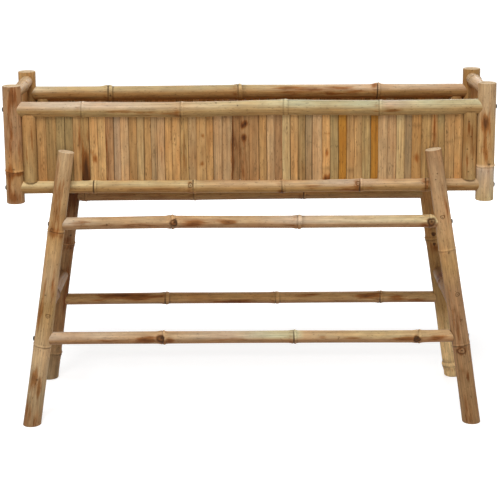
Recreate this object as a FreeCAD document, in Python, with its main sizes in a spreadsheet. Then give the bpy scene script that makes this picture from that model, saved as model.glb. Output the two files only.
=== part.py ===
import FreeCAD, Part
import Sketcher
import os

# Raised garden bed: a bamboo trough that hangs between two splayed leg frames.
# Lengths are millimetres. X runs along the bed, Y from front to back and Z up.
# The origin is on the floor, under the middle of the bed.

SIZES = {
    # corner posts of the trough
    "bed_height": 800,
    "post_spacing_long": 1084,
    "post_spacing_deep": 244,
    "post_diameter": 42,
    "post_length": 273,
    # rails and uprights of the trough
    "top_rail_diameter": 35,
    "top_rail_drop": 55,
    "bottom_rail_diameter": 30,
    "bottom_rail_rise": 36,
    "end_rail_diameter": 29,
    "upright_diameter": 29,
    "upright_gap": 3.5,
    "upright_mouth": 6,
    # split bamboo slats of the walls and the floor
    "slat_thickness": 6,
    "slat_crown": 1,
    "slat_gap": 0.3,
    "slat_headroom": 1,
    "groove_depth": 8,
    "long_slat_count": 52,
    "end_slat_count": 11,
    "floor_slat_count": 11,
    "floor_side_gap": 1,
    "floor_end_gap": 4,
    # round bearers under the floor, planed flat on top
    "bearer_diameter": 24,
    "bearer_flat": 1.5,
    "bearer_inset": 17,
    # leg frames
    "leg_rise": 89,
    "leg_top_inset": 124,
    "leg_foot_inset": 23.5,
    "leg_rake": 14,
    "leg_top_diameter": 38,
    "leg_foot_diameter": 41,
    "leg_overrun": 15,
    "leg_notch": 3,
    "stretcher_diameter": 29,
    "upper_stretcher_drop": 79.5,
    "lower_stretcher_height": 210.5,
    "side_bar_diameter": 30,
    "side_bar_lift": 68.5,
    # ridge round a bamboo joint
    "ridge_tube": 5,
    "ridge_proud": 1.2,
    # fasteners
    "screw_diameter": 5,
    "screw_head_diameter": 9,
    "screw_head_top": 6.4,
    "screw_head_height": 4,
    "screw_seat": 1.2,
    "screw_bite": 22,
    "bolt_diameter": 6,
    "bolt_head_diameter": 12,
    "bolt_head_top": 9,
    "bolt_head_height": 4,
    "bolt_seat": 1.6,
    "bolt_bite": 24,
    "dowel_diameter": 8,
    "dowel_length": 36,
    "peg_diameter": 8,
    "peg_length": 18,
    # room between round faces, and spare depth at the end of a hole
    "fit": 0.2,
    "hole_spare": 0.5,
}

SIDES = {"left": -1, "right": 1}
FACES = {"front": -1, "back": 1}

# Bearers of the floor, numbered from the left, as steps from the middle one.
BEARERS = {1: -3, 2: -2, 3: -1, 4: 0, 5: 1, 6: 2, 7: 3}

# Bamboo joints of each pole, as shares of its length from its left, front or lower end.
JOINTS = {
    "rail_front_top": (0.146, 0.355, 0.572, 0.773),
    "rail_front_bottom": (0.168, 0.379, 0.567, 0.733, 0.874),
    "rail_back_top": (0.182, 0.475, 0.787),
    "rail_back_bottom": (0.130, 0.335, 0.560, 0.745),
    "stretcher_front_upper": (0.289, 0.623, 0.963),
    "stretcher_front_lower": (0.286, 0.602, 0.901),
    "stretcher_back_upper": (0.035, 0.341, 0.650),
    "stretcher_back_lower": (0.276, 0.564, 0.837),
    "post_front_left": (0.268,),
    "post_front_right": (0.285,),
    "post_back_left": (0.62,),
    "post_back_right": (0.60,),
    "leg_front_left": (0.312, 0.72),
    "leg_front_right": (0.305, 0.645),
    "leg_back_left": (0.125, 0.56),
    "leg_back_right": (0.065, 0.57),
    "side_bar_left": (0.40,),
    "side_bar_right": (0.62,),
}

# Turns of a piece whose own axis is Z.
STANDING = "rotation(vector(0; 0; 1); 0)"
TURNS = {
    "x": "rotation(vector(0; 1; 0); 90)",
    "y": "rotation(vector(1; 0; 0); -90)",
    "z": STANDING,
}

# Turns of a row of slats, whose own X runs along the row and whose rounded side looks along -Y.
LOOKING = {
    "front": STANDING,
    "back": "rotation(vector(0; 0; 1); 180)",
    "right": "rotation(vector(0; 0; 1); 90)",
    "left": "rotation(vector(0; 0; 1); -90)",
    "up": "rotation(vector(-1; 1; -1); 120)",
}

# Radii and places that several pieces share, as formulas of the sheet's sizes.
POST_X = "(Dims.post_spacing_long / 2)"
POST_Y = "(Dims.post_spacing_deep / 2)"
POST_R = "(Dims.post_diameter / 2)"
POST_Z = "(Dims.bed_height - Dims.post_length)"
TOP_R = "(Dims.top_rail_diameter / 2)"
TOP_Z = "(Dims.bed_height - Dims.top_rail_drop)"
LOW_R = "(Dims.bottom_rail_diameter / 2)"
LOW_Z = f"({POST_Z} + Dims.bottom_rail_rise)"
END_R = "(Dims.end_rail_diameter / 2)"
END_TOP_Z = f"({TOP_Z} + {TOP_R} + {END_R})"
END_LOW_Z = f"({LOW_Z} + {LOW_R} + {END_R})"
UPRIGHT_R = "(Dims.upright_diameter / 2)"
UPRIGHT_X = f"({POST_X} - {POST_R} - Dims.upright_gap - {UPRIGHT_R})"
LONG_FIELD = f"({UPRIGHT_X} - {UPRIGHT_R})"
END_FIELD = f"({POST_Y} - {POST_R} - Dims.ridge_proud)"
BEARER_R = "(Dims.bearer_diameter / 2)"
FLOOR_FIELD = f"({END_FIELD} - Dims.floor_side_gap)"
FLOOR_X = f"({POST_X} - {END_R} - Dims.floor_end_gap)"
FLOOR_Z = f"({LOW_Z} + {BEARER_R} - Dims.bearer_flat)"
STRETCHER_R = "(Dims.stretcher_diameter / 2)"
STRETCHER_Z = {
    "upper": f"({LOW_Z} - Dims.upper_stretcher_drop)",
    "lower": "Dims.lower_stretcher_height",
}
BAR_R = "(Dims.side_bar_diameter / 2)"
BAR_Z = "(Dims.lower_stretcher_height + Dims.side_bar_lift)"
LEG_Z = f"({LOW_Z} + Dims.leg_rise)"
LEAN_X = f"((Dims.leg_top_inset - Dims.leg_foot_inset) / {LEG_Z})"
LEAN_Y = f"(Dims.leg_rake / {LEG_Z})"


def leg_radius(z):
    """Radius of a leg where its axis is at height z: it tapers evenly from foot to top."""
    taper = "(Dims.leg_foot_diameter - Dims.leg_top_diameter) / 2"
    share = f"({z} + Dims.leg_overrun) / ({LEG_Z} + Dims.leg_overrun)"
    return f"(Dims.leg_foot_diameter / 2 - {taper} * {share})"


def leg_x(z):
    """Distance of a leg's axis from the middle of the bed at height z."""
    return f"({POST_X} - Dims.leg_foot_inset - {LEAN_X} * {z})"


def leg_y(z):
    """Distance of a leg's axis from the bed's centre line: its notch takes the bottom rail."""
    beside_rail = f"{POST_Y} + {LOW_R} + {leg_radius(LOW_Z)} - Dims.leg_notch"
    return f"({beside_rail} + {LEAN_Y} * ({LOW_Z} - {z}))"


doc = FreeCAD.newDocument("raised_garden_bed")
sheet = doc.addObject("Spreadsheet::Sheet", "Dims")
for row, (alias, value) in enumerate(SIZES.items(), 1):
    sheet.set(f"A{row}", alias)
    sheet.set(f"B{row}", str(value))
    sheet.setAlias(f"B{row}", alias)
doc.recompute()

nodes = []  # finished pieces: object, label and number of solids
poles = {}  # how each pole is made, by label
rooms = {}  # the slightly larger shape of a pole that its neighbours are cut by
cuts = {}  # what is taken out of each pole


def bind(thing, **sizes):
    """Tie named properties to formulas of the sheet's sizes."""
    for name, formula in sizes.items():
        thing.setExpression(name, formula)
    return thing


def place(thing, x, y, z, turn=STANDING):
    """Put a thing at a point and turn it."""
    return bind(thing, Placement=f"placement(vector({x}; {y}; {z}); {turn})")


def fuse(name, shapes):
    """Join several shapes into one."""
    whole = doc.addObject("Part::MultiFuse", name)
    whole.Shapes = shapes
    return whole


def keep(thing, label, solids=1):
    """Name a finished piece and remember how many solids it holds."""
    thing.Label = label
    nodes.append((thing, label, solids))


def gather(label, things):
    """Let loose copies of one fastener share a node."""
    whole = doc.addObject("Part::Compound", label)
    whole.Links = things
    keep(whole, label, len(things))


def cylinder(name, radius, length, x, y, z, turn=STANDING):
    """Make a rod from its lower end."""
    rod = doc.addObject("Part::Cylinder", name)
    return place(bind(rod, Radius=radius, Height=length), x, y, z, turn)


def block(name, size, corner):
    """Make a box from its sides and its lowest corner."""
    cuboid = doc.addObject("Part::Box", name)
    bind(cuboid, Length=size[0], Width=size[1], Height=size[2])
    return place(cuboid, *corner)


def culm(name, label, room):
    """Make a bamboo pole with a ridge at each joint, grown all round by room."""
    length, low, high, spot = poles[label]
    trunk = doc.addObject("Part::Cone", name + "_trunk")
    bind(trunk, Radius1=f"{low} + {room}", Radius2=f"{high} + {room}", Height=length)
    ridges = []
    for index, share in enumerate(JOINTS.get(label, ())):
        ridge = doc.addObject("Part::Torus", f"{name}_ridge_{index}")
        middle = f"{low} + ({high} - {low}) * {share} + Dims.ridge_proud - Dims.ridge_tube"
        bind(ridge, Radius1=middle, Radius2=f"Dims.ridge_tube + {room}")
        ridges.append(place(ridge, "0", "0", f"{share} * ({length})"))
    whole = fuse(name, [trunk] + ridges) if ridges else trunk
    return place(whole, *spot)


def pole(label, length, low, high, spot):
    """Plan a pole from its lower end: its length, end radii, place and turn."""
    poles[label] = (length, low, high, spot)
    cuts[label] = []


def cope(label, *neighbours):
    """Shape a pole's ends or sides to the neighbours that it meets."""
    for neighbour in neighbours:
        if neighbour not in rooms:
            rooms[neighbour] = culm(neighbour + "_room", neighbour, "Dims.fit")
        cuts[label].append(rooms[neighbour])


def drill(hole, *labels):
    """Take a hole or groove out of each pole that it runs through."""
    for label in labels:
        cuts[label].append(hole)


def headed(name, kind, length, axis, sign, seat):
    """Make a screw or bolt whose head looks along an axis from its seat, and the hole for it."""
    turn = f"rotation(vector(0; 1; 0); {90 * sign})"
    if axis == "y":
        turn = f"rotation(vector(1; 0; 0); {-90 * sign})"
    shank_r = f"Dims.{kind}_diameter / 2"
    head_r = f"Dims.{kind}_head_diameter / 2"
    tall = f"Dims.{kind}_head_height"
    deep = f"({length} + Dims.hole_spare)"
    shank = cylinder(name + "_shank", shank_r, length, "0", "0", f"-({length})")
    head = doc.addObject("Part::Cone", name + "_head")
    bind(head, Radius1=head_r, Radius2=f"Dims.{kind}_head_top / 2", Height=tall)
    hole = cylinder(name + "_hole", f"{shank_r} + Dims.fit", deep, "0", "0", f"-{deep}")
    dish = cylinder(name + "_dish", f"{head_r} + Dims.fit", f"2 * {tall}", "0", "0", "0")
    solid = place(fuse(name, [shank, head]), *seat, turn)
    room = place(fuse(name + "_room", [hole, dish]), *seat, turn)
    return solid, room


def dowel(name, kind, axis, x, y, z):
    """Make a peg centred on a seam, and the blind hole that it fills."""
    half = f"Dims.{kind}_length / 2"
    radius = f"Dims.{kind}_diameter / 2"

    def end(beyond):
        point = {"x": x, "y": y, "z": z}
        point[axis] = f"{point[axis]} - {half} - {beyond}"
        return point["x"], point["y"], point["z"], TURNS[axis]

    spare = "Dims.hole_spare"
    solid = cylinder(name, radius, f"2 * {half}", *end("0"))
    hole = cylinder(name + "_hole", f"{radius} + Dims.fit", f"2 * ({half} + {spare})", *end(spare))
    return solid, hole


def split_slats(label, count, half_field, length, looking, corner):
    """Lay a row of split slats, flat inside and rounded outside, that fills a field."""
    pitch = f"((2 * {half_field} - Dims.slat_gap) / Dims.{count})"
    width = f"({pitch} - Dims.slat_gap)"
    body = doc.addObject("PartDesign::Body", label)
    origin = {feature.Role: feature for feature in body.Origin.OriginFeatures}
    section = body.newObject("Sketcher::SketchObject", label + "_section")
    section.AttachmentSupport = [(origin["XY_Plane"], "")]
    section.MapMode = "FlatFace"
    outline(section, width)
    slat = body.newObject("PartDesign::Pad", label + "_slat")
    slat.Profile = section
    bind(slat, Length=length)
    slats = body.newObject("PartDesign::LinearPattern", label + "_row")
    slats.Originals = [slat]
    slats.Direction = (origin["X_Axis"], [""])
    bind(slats, Length=f"{pitch} * (Dims.{count} - 1)", Occurrences=f"Dims.{count}")
    body.Tip = slats
    place(body, *corner, LOOKING[looking])
    keep(body, label, SIZES[count])


def outline(section, width):
    """Draw a slat's section: a flat back, two short edges and a shallow arch in front."""
    across = 3 * SIZES["slat_thickness"]
    rise = SIZES["slat_crown"]
    edge = SIZES["slat_thickness"] - rise
    back_left, back_right = FreeCAD.Vector(0, 0, 0), FreeCAD.Vector(across, 0, 0)
    front_left, front_right = FreeCAD.Vector(0, -edge, 0), FreeCAD.Vector(across, -edge, 0)
    crown = FreeCAD.Vector(across / 2, -SIZES["slat_thickness"], 0)
    back = section.addGeometry(Part.LineSegment(back_left, back_right))
    right = section.addGeometry(Part.LineSegment(back_right, front_right))
    arch = section.addGeometry(Part.Arc(front_left, crown, front_right))
    left = section.addGeometry(Part.LineSegment(front_left, back_left))
    start, end, origin = 1, 2, -1
    rules = (
        ("Coincident", back, start, origin, start),
        ("Coincident", back, end, right, start),
        ("Coincident", right, end, arch, end),
        ("Coincident", arch, start, left, start),
        ("Coincident", left, end, back, start),
        ("Horizontal", back),
        ("Vertical", right),
        ("Vertical", left),
        ("Equal", right, left),
    )
    section.addConstraint([Sketcher.Constraint(*rule) for rule in rules])
    bend = f"({width})^2 / 8 / Dims.slat_crown + Dims.slat_crown / 2"
    sized = (
        ("width", width, ("DistanceX", back, start, back, end, across)),
        ("edge", "Dims.slat_thickness - Dims.slat_crown", ("Distance", left, edge)),
        ("bend", bend, ("Radius", arch, across**2 / 8 / rise + rise / 2)),
    )
    for name, formula, rule in sized:
        section.renameConstraint(section.addConstraint(Sketcher.Constraint(*rule)), name)
        section.setExpression("Constraints." + name, formula)


# Poles of the trough.
for face, out in FACES.items():
    y = f"{out} * {POST_Y}"
    for side, way in SIDES.items():
        post = (f"{way} * {POST_X}", y, POST_Z, STANDING)
        pole(f"post_{face}_{side}", "Dims.post_length", POST_R, POST_R, post)
        foot_z = f"{LOW_Z} + {LOW_R} - Dims.upright_mouth"
        tall = f"{TOP_Z} - {TOP_R} + Dims.upright_mouth - ({foot_z})"
        upright = (f"{way} * {UPRIGHT_X}", y, foot_z, STANDING)
        pole(f"upright_{face}_{side}", tall, UPRIGHT_R, UPRIGHT_R, upright)
    for level, radius, z in (("top", TOP_R, TOP_Z), ("bottom", LOW_R, LOW_Z)):
        rail = (f"-{POST_X}", y, z, TURNS["x"])
        pole(f"rail_{face}_{level}", "Dims.post_spacing_long", radius, radius, rail)
for side, way in SIDES.items():
    for level, z in (("top", END_TOP_Z), ("bottom", END_LOW_Z)):
        rail = (f"{way} * {POST_X}", f"-{POST_Y}", z, TURNS["y"])
        pole(f"rail_{side}_{level}", "Dims.post_spacing_deep", END_R, END_R, rail)
for number, step in BEARERS.items():
    x = f"{step} / {max(BEARERS.values())} * ({LONG_FIELD} - Dims.bearer_inset)"
    bearer = (x, f"-{POST_Y}", LOW_Z, TURNS["y"])
    pole(f"bearer_{number}", "Dims.post_spacing_deep", BEARER_R, BEARER_R, bearer)

# Poles of the leg frames. A leg starts below the floor and is then cut off flat on it.
for face, out in FACES.items():
    for side, way in SIDES.items():
        start_z = "(0 - Dims.leg_overrun)"
        lean = f"atan(sqrt({LEAN_X}^2 + {LEAN_Y}^2))"
        turn = f"rotation(vector({out} * {LEAN_Y}; {-way} * {LEAN_X}; 0); {lean})"
        leg = (f"{way} * {leg_x(start_z)}", f"{out} * {leg_y(start_z)}", start_z, turn)
        length = f"({LEG_Z} + Dims.leg_overrun) * sqrt(1 + {LEAN_X}^2 + {LEAN_Y}^2)"
        low, high = "Dims.leg_foot_diameter / 2", "Dims.leg_top_diameter / 2"
        pole(f"leg_{face}_{side}", length, low, high, leg)
    for level, z in STRETCHER_Z.items():
        stretcher = (f"-{leg_x(z)}", f"{out} * {leg_y(z)}", z, TURNS["x"])
        pole(f"stretcher_{face}_{level}", f"2 * {leg_x(z)}", STRETCHER_R, STRETCHER_R, stretcher)
for side, way in SIDES.items():
    bar = (f"{way} * {leg_x(BAR_Z)}", f"-{leg_y(BAR_Z)}", BAR_Z, TURNS["y"])
    pole(f"side_bar_{side}", f"2 * {leg_y(BAR_Z)}", BAR_R, BAR_R, bar)

# Copes: each pole end is hollowed to the pole that it meets.
for face in FACES:
    for side in SIDES:
        cope(f"upright_{face}_{side}", f"rail_{face}_top", f"rail_{face}_bottom")
        cope(f"leg_{face}_{side}", f"rail_{face}_bottom")
        cope(f"side_bar_{side}", f"leg_{face}_{side}")
        for level in ("top", "bottom"):
            cope(f"rail_{face}_{level}", f"post_{face}_{side}")
            cope(f"rail_{side}_{level}", f"post_{face}_{side}")
        for level in STRETCHER_Z:
            cope(f"stretcher_{face}_{level}", f"leg_{face}_{side}")
    for number in BEARERS:
        cope(f"bearer_{number}", f"rail_{face}_bottom")

# Grooves for the wall slats, the flats on the bearers and the flat feet.
groove_wide = "(Dims.slat_thickness + 2 * Dims.fit)"
for face, out in FACES.items():
    y = f"{out} * {POST_Y} - {groove_wide} / 2"
    low_z = f"{LOW_Z} + {LOW_R} - Dims.groove_depth"
    low_size = (f"2 * {LONG_FIELD}", groove_wide, f"Dims.groove_depth + {LOW_R}")
    drill(block(f"groove_{face}_bottom", low_size, (f"-{LONG_FIELD}", y, low_z)), f"rail_{face}_bottom")
    top_size = (f"2 * {LONG_FIELD}", groove_wide, f"Dims.groove_depth + {TOP_R}")
    top_z = f"{TOP_Z} - 2 * {TOP_R}"
    drill(block(f"groove_{face}_top", top_size, (f"-{LONG_FIELD}", y, top_z)), f"rail_{face}_top")
for side, way in SIDES.items():
    x = f"{way} * {POST_X} - {groove_wide} / 2"
    size = (groove_wide, f"2 * {POST_Y}", f"Dims.groove_depth + {END_R}")
    low_z = f"{END_LOW_Z} + {END_R} - Dims.groove_depth"
    drill(block(f"groove_{side}_bottom", size, (x, f"-{POST_Y}", low_z)), f"rail_{side}_bottom")
    top_z = f"{END_TOP_Z} - 2 * {END_R}"
    drill(block(f"groove_{side}_top", size, (x, f"-{POST_Y}", top_z)), f"rail_{side}_top")
above_floor = (f"2 * {POST_X}", f"2 * {POST_Y}", BEARER_R)
planed = block("bearer_flats", above_floor, (f"-{POST_X}", f"-{POST_Y}", FLOOR_Z))
drill(planed, *[f"bearer_{number}" for number in BEARERS])
foot_room = "2 * Dims.leg_foot_diameter"
for face, out in FACES.items():
    for side, way in SIDES.items():
        corner = (
            f"{way} * {leg_x('0')} - {foot_room} / 2",
            f"{out} * {leg_y('0')} - {foot_room} / 2",
            f"0 - {foot_room}",
        )
        ground = block(f"ground_{face}_{side}", (foot_room, foot_room, foot_room), corner)
        drill(ground, f"leg_{face}_{side}")

# Fasteners, each with the holes that it needs.
post_screws, leg_screws, leg_bolts = [], [], []
end_dowels, bar_dowels, upright_pegs, bearer_pegs = [], [], [], []
for face, out in FACES.items():
    post_y = f"{out} * {POST_Y}"
    for side, way in SIDES.items():
        corner = f"{face}_{side}"
        seat_x = f"{way} * ({POST_X} + {POST_R} - Dims.screw_seat)"
        length = "Dims.post_diameter - Dims.screw_seat + Dims.screw_bite"
        for level, z in (("top", TOP_Z), ("bottom", LOW_Z)):
            name = f"post_screw_{corner}_{level}"
            screw, hole = headed(name, "screw", length, "x", way, (seat_x, post_y, z))
            drill(hole, f"post_{corner}", f"rail_{face}_{level}")
            post_screws.append(screw)
        for level, z in STRETCHER_Z.items():
            seat = (
                f"{way} * ({leg_x(z)} + {leg_radius(z)} - Dims.screw_seat)",
                f"{out} * {leg_y(z)}",
                z,
            )
            length = f"2 * {leg_radius(z)} - Dims.screw_seat + Dims.screw_bite"
            screw, hole = headed(f"leg_screw_{corner}_{level}", "screw", length, "x", way, seat)
            drill(hole, f"leg_{corner}", f"stretcher_{face}_{level}")
            leg_screws.append(screw)
        seat = (f"{way} * {leg_x(LOW_Z)}", f"{out} * ({POST_Y} - {LOW_R} + Dims.bolt_seat)", LOW_Z)
        length = "Dims.bottom_rail_diameter - Dims.bolt_seat + Dims.bolt_bite"
        bolt, hole = headed(f"leg_bolt_{corner}", "bolt", length, "y", -out, seat)
        drill(hole, f"leg_{corner}", f"rail_{face}_bottom")
        leg_bolts.append(bolt)
        for level, z in (("top", END_TOP_Z), ("bottom", END_LOW_Z)):
            seam_y = f"{out} * ({POST_Y} - {POST_R})"
            peg, hole = dowel(f"end_dowel_{corner}_{level}", "dowel", "y", f"{way} * {POST_X}", seam_y, z)
            drill(hole, f"post_{corner}", f"rail_{side}_{level}")
            end_dowels.append(peg)
        seam_y = f"{out} * ({leg_y(BAR_Z)} - {leg_radius(BAR_Z)})"
        peg, hole = dowel(f"bar_dowel_{corner}", "dowel", "y", f"{way} * {leg_x(BAR_Z)}", seam_y, BAR_Z)
        drill(hole, f"leg_{corner}", f"side_bar_{side}")
        bar_dowels.append(peg)
        for level, seam_z in (("top", f"{TOP_Z} - {TOP_R}"), ("bottom", f"{LOW_Z} + {LOW_R}")):
            name = f"upright_peg_{corner}_{level}"
            peg, hole = dowel(name, "peg", "z", f"{way} * {UPRIGHT_X}", post_y, seam_z)
            drill(hole, f"upright_{corner}", f"rail_{face}_{level}")
            upright_pegs.append(peg)
    for number in BEARERS:
        x = poles[f"bearer_{number}"][-1][0]
        seam_y = f"{out} * ({POST_Y} - {LOW_R})"
        peg, hole = dowel(f"bearer_peg_{face}_{number}", "peg", "y", x, seam_y, LOW_Z)
        drill(hole, f"bearer_{number}", f"rail_{face}_bottom")
        bearer_pegs.append(peg)

# Finished poles: each blank with all its cuts taken out.
for label in poles:
    piece = doc.addObject("Part::Cut", label)
    piece.Base = culm(label + "_blank", label, "0")
    piece.Tool = fuse(label + "_cuts", cuts[label])
    keep(piece, label)

# Rows of slats: four walls that stand in the grooves, and the floor that lies on the bearers.
half_thick = "Dims.slat_thickness / 2"
long_z = f"({LOW_Z} + {LOW_R} - Dims.groove_depth)"
long_tall = f"{TOP_Z} - {TOP_R} + Dims.groove_depth - Dims.slat_headroom - {long_z}"
end_z = f"({END_LOW_Z} + {END_R} - Dims.groove_depth)"
end_tall = f"{END_TOP_Z} - {END_R} + Dims.groove_depth - Dims.slat_headroom - {end_z}"
for face, out in FACES.items():
    corner = (
        f"{out} * ({LONG_FIELD} - Dims.slat_gap)",
        f"{out} * ({POST_Y} - {half_thick})",
        long_z,
    )
    split_slats(f"slats_{face}", "long_slat_count", LONG_FIELD, long_tall, face, corner)
for side, way in SIDES.items():
    corner = (
        f"{way} * ({POST_X} - {half_thick})",
        f"{-way} * ({END_FIELD} - Dims.slat_gap)",
        end_z,
    )
    split_slats(f"slats_{side}", "end_slat_count", END_FIELD, end_tall, side, corner)
corner = (f"-{FLOOR_X}", f"{FLOOR_FIELD} - Dims.slat_gap", FLOOR_Z)
split_slats("floor_slats", "floor_slat_count", FLOOR_FIELD, f"2 * {FLOOR_X}", "up", corner)

gather("post_screws", post_screws)
gather("leg_screws", leg_screws)
gather("leg_bolts", leg_bolts)
gather("end_rail_dowels", end_dowels)
gather("side_bar_dowels", bar_dowels)
gather("upright_pegs", upright_pegs)
gather("bearer_pegs", bearer_pegs)

doc.recompute()
failed = [thing.Name for thing in doc.Objects if {"Invalid", "Error"} & set(thing.State)]
if failed:
    raise RuntimeError("objects that failed: " + ", ".join(failed))
for thing, label, solids in nodes:
    shape = thing.Shape
    if shape.isNull() or not shape.isValid():
        raise RuntimeError(label + " has no valid shape")
    if len(shape.Solids) != solids:
        raise RuntimeError(f"{label} has {len(shape.Solids)} solids, not {solids}")

os.makedirs("parts", exist_ok=True)
for thing, label, solids in nodes:
    thing.Shape.exportStep(f"parts/{label}.step")
print(f"{len(nodes)} nodes, {sum(solids for _, _, solids in nodes)} solids")
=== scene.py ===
# %% [markdown]
# # A raised garden bed of bamboo
# The bed is a trough of split bamboo that hangs between two pairs of splayed legs.
# The solid model gives every pole and slat its place. This lesson dresses those solids:
# it swaps straight rods for culms with joints, scars and bends, and gives each a finish.

# %% Load the solid model
import math
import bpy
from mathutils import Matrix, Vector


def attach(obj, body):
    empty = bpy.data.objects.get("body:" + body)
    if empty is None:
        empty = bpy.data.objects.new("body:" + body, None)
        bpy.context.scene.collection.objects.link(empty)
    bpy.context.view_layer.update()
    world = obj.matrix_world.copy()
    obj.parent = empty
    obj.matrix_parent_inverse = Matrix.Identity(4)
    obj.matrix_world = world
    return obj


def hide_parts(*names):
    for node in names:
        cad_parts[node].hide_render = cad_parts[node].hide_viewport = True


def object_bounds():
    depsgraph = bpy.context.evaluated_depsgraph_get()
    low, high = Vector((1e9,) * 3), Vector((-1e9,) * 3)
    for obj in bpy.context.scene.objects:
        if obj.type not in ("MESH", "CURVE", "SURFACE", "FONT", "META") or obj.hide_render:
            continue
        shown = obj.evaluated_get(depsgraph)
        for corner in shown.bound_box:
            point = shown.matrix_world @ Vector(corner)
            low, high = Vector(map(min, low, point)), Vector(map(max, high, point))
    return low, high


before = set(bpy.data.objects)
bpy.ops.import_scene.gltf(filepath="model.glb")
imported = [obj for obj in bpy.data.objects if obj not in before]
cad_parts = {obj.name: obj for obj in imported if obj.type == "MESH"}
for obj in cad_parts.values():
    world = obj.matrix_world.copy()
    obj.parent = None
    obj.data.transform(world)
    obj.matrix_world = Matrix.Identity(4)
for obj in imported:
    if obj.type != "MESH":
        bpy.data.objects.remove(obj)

from types import SimpleNamespace

import bpy
import numpy as np

solid_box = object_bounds()
solid_size = [round(v, 4) for v in solid_box[1] - solid_box[0]]
print("solid model:", len(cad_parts), "nodes, size", solid_size)

# %% [markdown]
# ## Colours of bamboo
# Culms dry to different colours: straw where the skin is waxy, green where it was cut young,
# honey and amber where it was heated, brown and grey where it weathered.
# One small table of named skins, used on every piece, keeps the bed of one kind.
# The numbers are what a screen shows, so they are turned into amounts of light first.

# %% Skin colours
SKINS = {
    "cream": (0.80, 0.69, 0.56),
    "pale": (0.75, 0.68, 0.56),
    "straw": (0.715, 0.625, 0.455),
    "oat": (0.755, 0.66, 0.48),
    "rosy": (0.74, 0.655, 0.555),
    "green": (0.71, 0.68, 0.54),
    "honey": (0.715, 0.575, 0.385),
    "fawn": (0.70, 0.58, 0.43),
    "tan": (0.68, 0.53, 0.34),
    "drab": (0.63, 0.51, 0.33),
    "olive": (0.58, 0.50, 0.34),
    "grey": (0.60, 0.51, 0.38),
    "brown": (0.605, 0.465, 0.325),
    "dun": (0.55, 0.42, 0.28),
    "nut": (0.61, 0.465, 0.28),
    # a lightened skin: painted light on a back leg that the lamps leave in shade
    "painted_light_butter": (0.85, 0.715, 0.51),
    "russet": (0.54, 0.37, 0.22),
    "umber": (0.44, 0.32, 0.19),
    "amber": (0.63, 0.435, 0.13),
}


def as_light(colour):
    """Screen value v as an amount of light: (v + 0.055) / 1.055 to the power 2.4."""
    return ((np.asarray(colour, float) + 0.055) / 1.055) ** 2.4


SKIN_LIGHT = {name: as_light(colour) for name, colour in SKINS.items()}
print("skins:", ", ".join(SKINS))

# %% [markdown]
# ## Finishes
# A culm's skin has fibres along it, soft mottling, a few dark specks and brown scorch marks.
# An image could show this, but noise that follows the fibre works at any distance and needs no file.
# Each piece carries three layers of its own: its skin colour, its marks (scorch, joint line,
# cut end) and its grain, a place measured along and across the fibre. On slats the joint line also
# carries the painted shade of the seams between them. The nodes read these,
# so the pattern turns with the pole and never slides over it.

# %% Node helpers
MIDDLE = (0.3, 0.7)  # most of a noise lies between these


def add(tree, kind, inputs=None, **settings):
    """Add a node, choose its settings and feed its inputs with numbers or other nodes' outputs."""
    made = tree.nodes.new(kind)
    for key, value in settings.items():
        setattr(made, key, value)
    for key, value in (inputs or {}).items():
        if isinstance(value, bpy.types.NodeSocket):
            tree.links.new(value, made.inputs[key])
        else:
            made.inputs[key].default_value = value
    return made


def reckon(tree, how, a, b):
    """Two values made into one: their sum, their product or the larger of them."""
    return add(tree, "ShaderNodeMath", {0: a, 1: b}, operation=how).outputs[0]


def reckon_place(tree, how, a, b):
    """The same for two places, axis by axis."""
    return add(tree, "ShaderNodeVectorMath", {0: a, 1: b}, operation=how).outputs[0]


def noise(tree, place, stretch, detail=3.0):
    """Noise at a place whose axes are first stretched, so that spots become fibres."""
    spread = reckon_place(tree, "MULTIPLY", place, stretch)
    return add(tree, "ShaderNodeTexNoise", {"Vector": spread, "Scale": 1.0, "Detail": detail}).outputs[0]


def remap(tree, value, low, high, to_low, to_high):
    """Straight-line remap of a value, held inside its new limits."""
    facts = {"Value": value, 1: low, 2: high, 3: to_low, 4: to_high}
    return add(tree, "ShaderNodeMapRange", facts).outputs[0]


def swing(tree, value, by):
    """A noise made a factor that runs from 1 - by to 1 + by."""
    return remap(tree, value, *MIDDLE, 1 - by, 1 + by)


def dim(tree, colour, amount):
    """A colour made lighter or darker by an amount."""
    return add(tree, "ShaderNodeVectorMath", {0: colour, "Scale": amount}, operation="SCALE").outputs[0]


def blend(tree, share, one, other, how="MIX"):
    """Share of one colour laid over another."""
    made = add(tree, "ShaderNodeMix", {0: share, 6: one, 7: other}, data_type="RGBA", blend_type=how)
    return made.outputs[2]


def layer(tree, name):
    """A layer that the piece's own mesh carries."""
    return add(tree, "ShaderNodeAttribute", attribute_name=name)


def new_finish(name):
    """A new material, its nodes and its shader."""
    made = bpy.data.materials.new(name)
    made.use_nodes = True
    return made, made.node_tree, made.node_tree.nodes["Principled BSDF"]


def emboss(tree, shader, height, strength, distance):
    """Bump a shader by a height."""
    bump = add(tree, "ShaderNodeBump", {"Height": height, "Strength": strength, "Distance": distance})
    tree.links.new(bump.outputs[0], shader.inputs["Normal"])


print("noise is read between", *MIDDLE)

# %% [markdown]
# Three kinds of marks change a skin. Scorch browns it and then chars it, with a ragged edge that more
# noise makes. Small knots are a dark heart in a ring, strewn over the skin by a cell pattern. A cut
# end shows the pores of the fibres, which the same kind of cell pattern gives when it is very fine.

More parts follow.
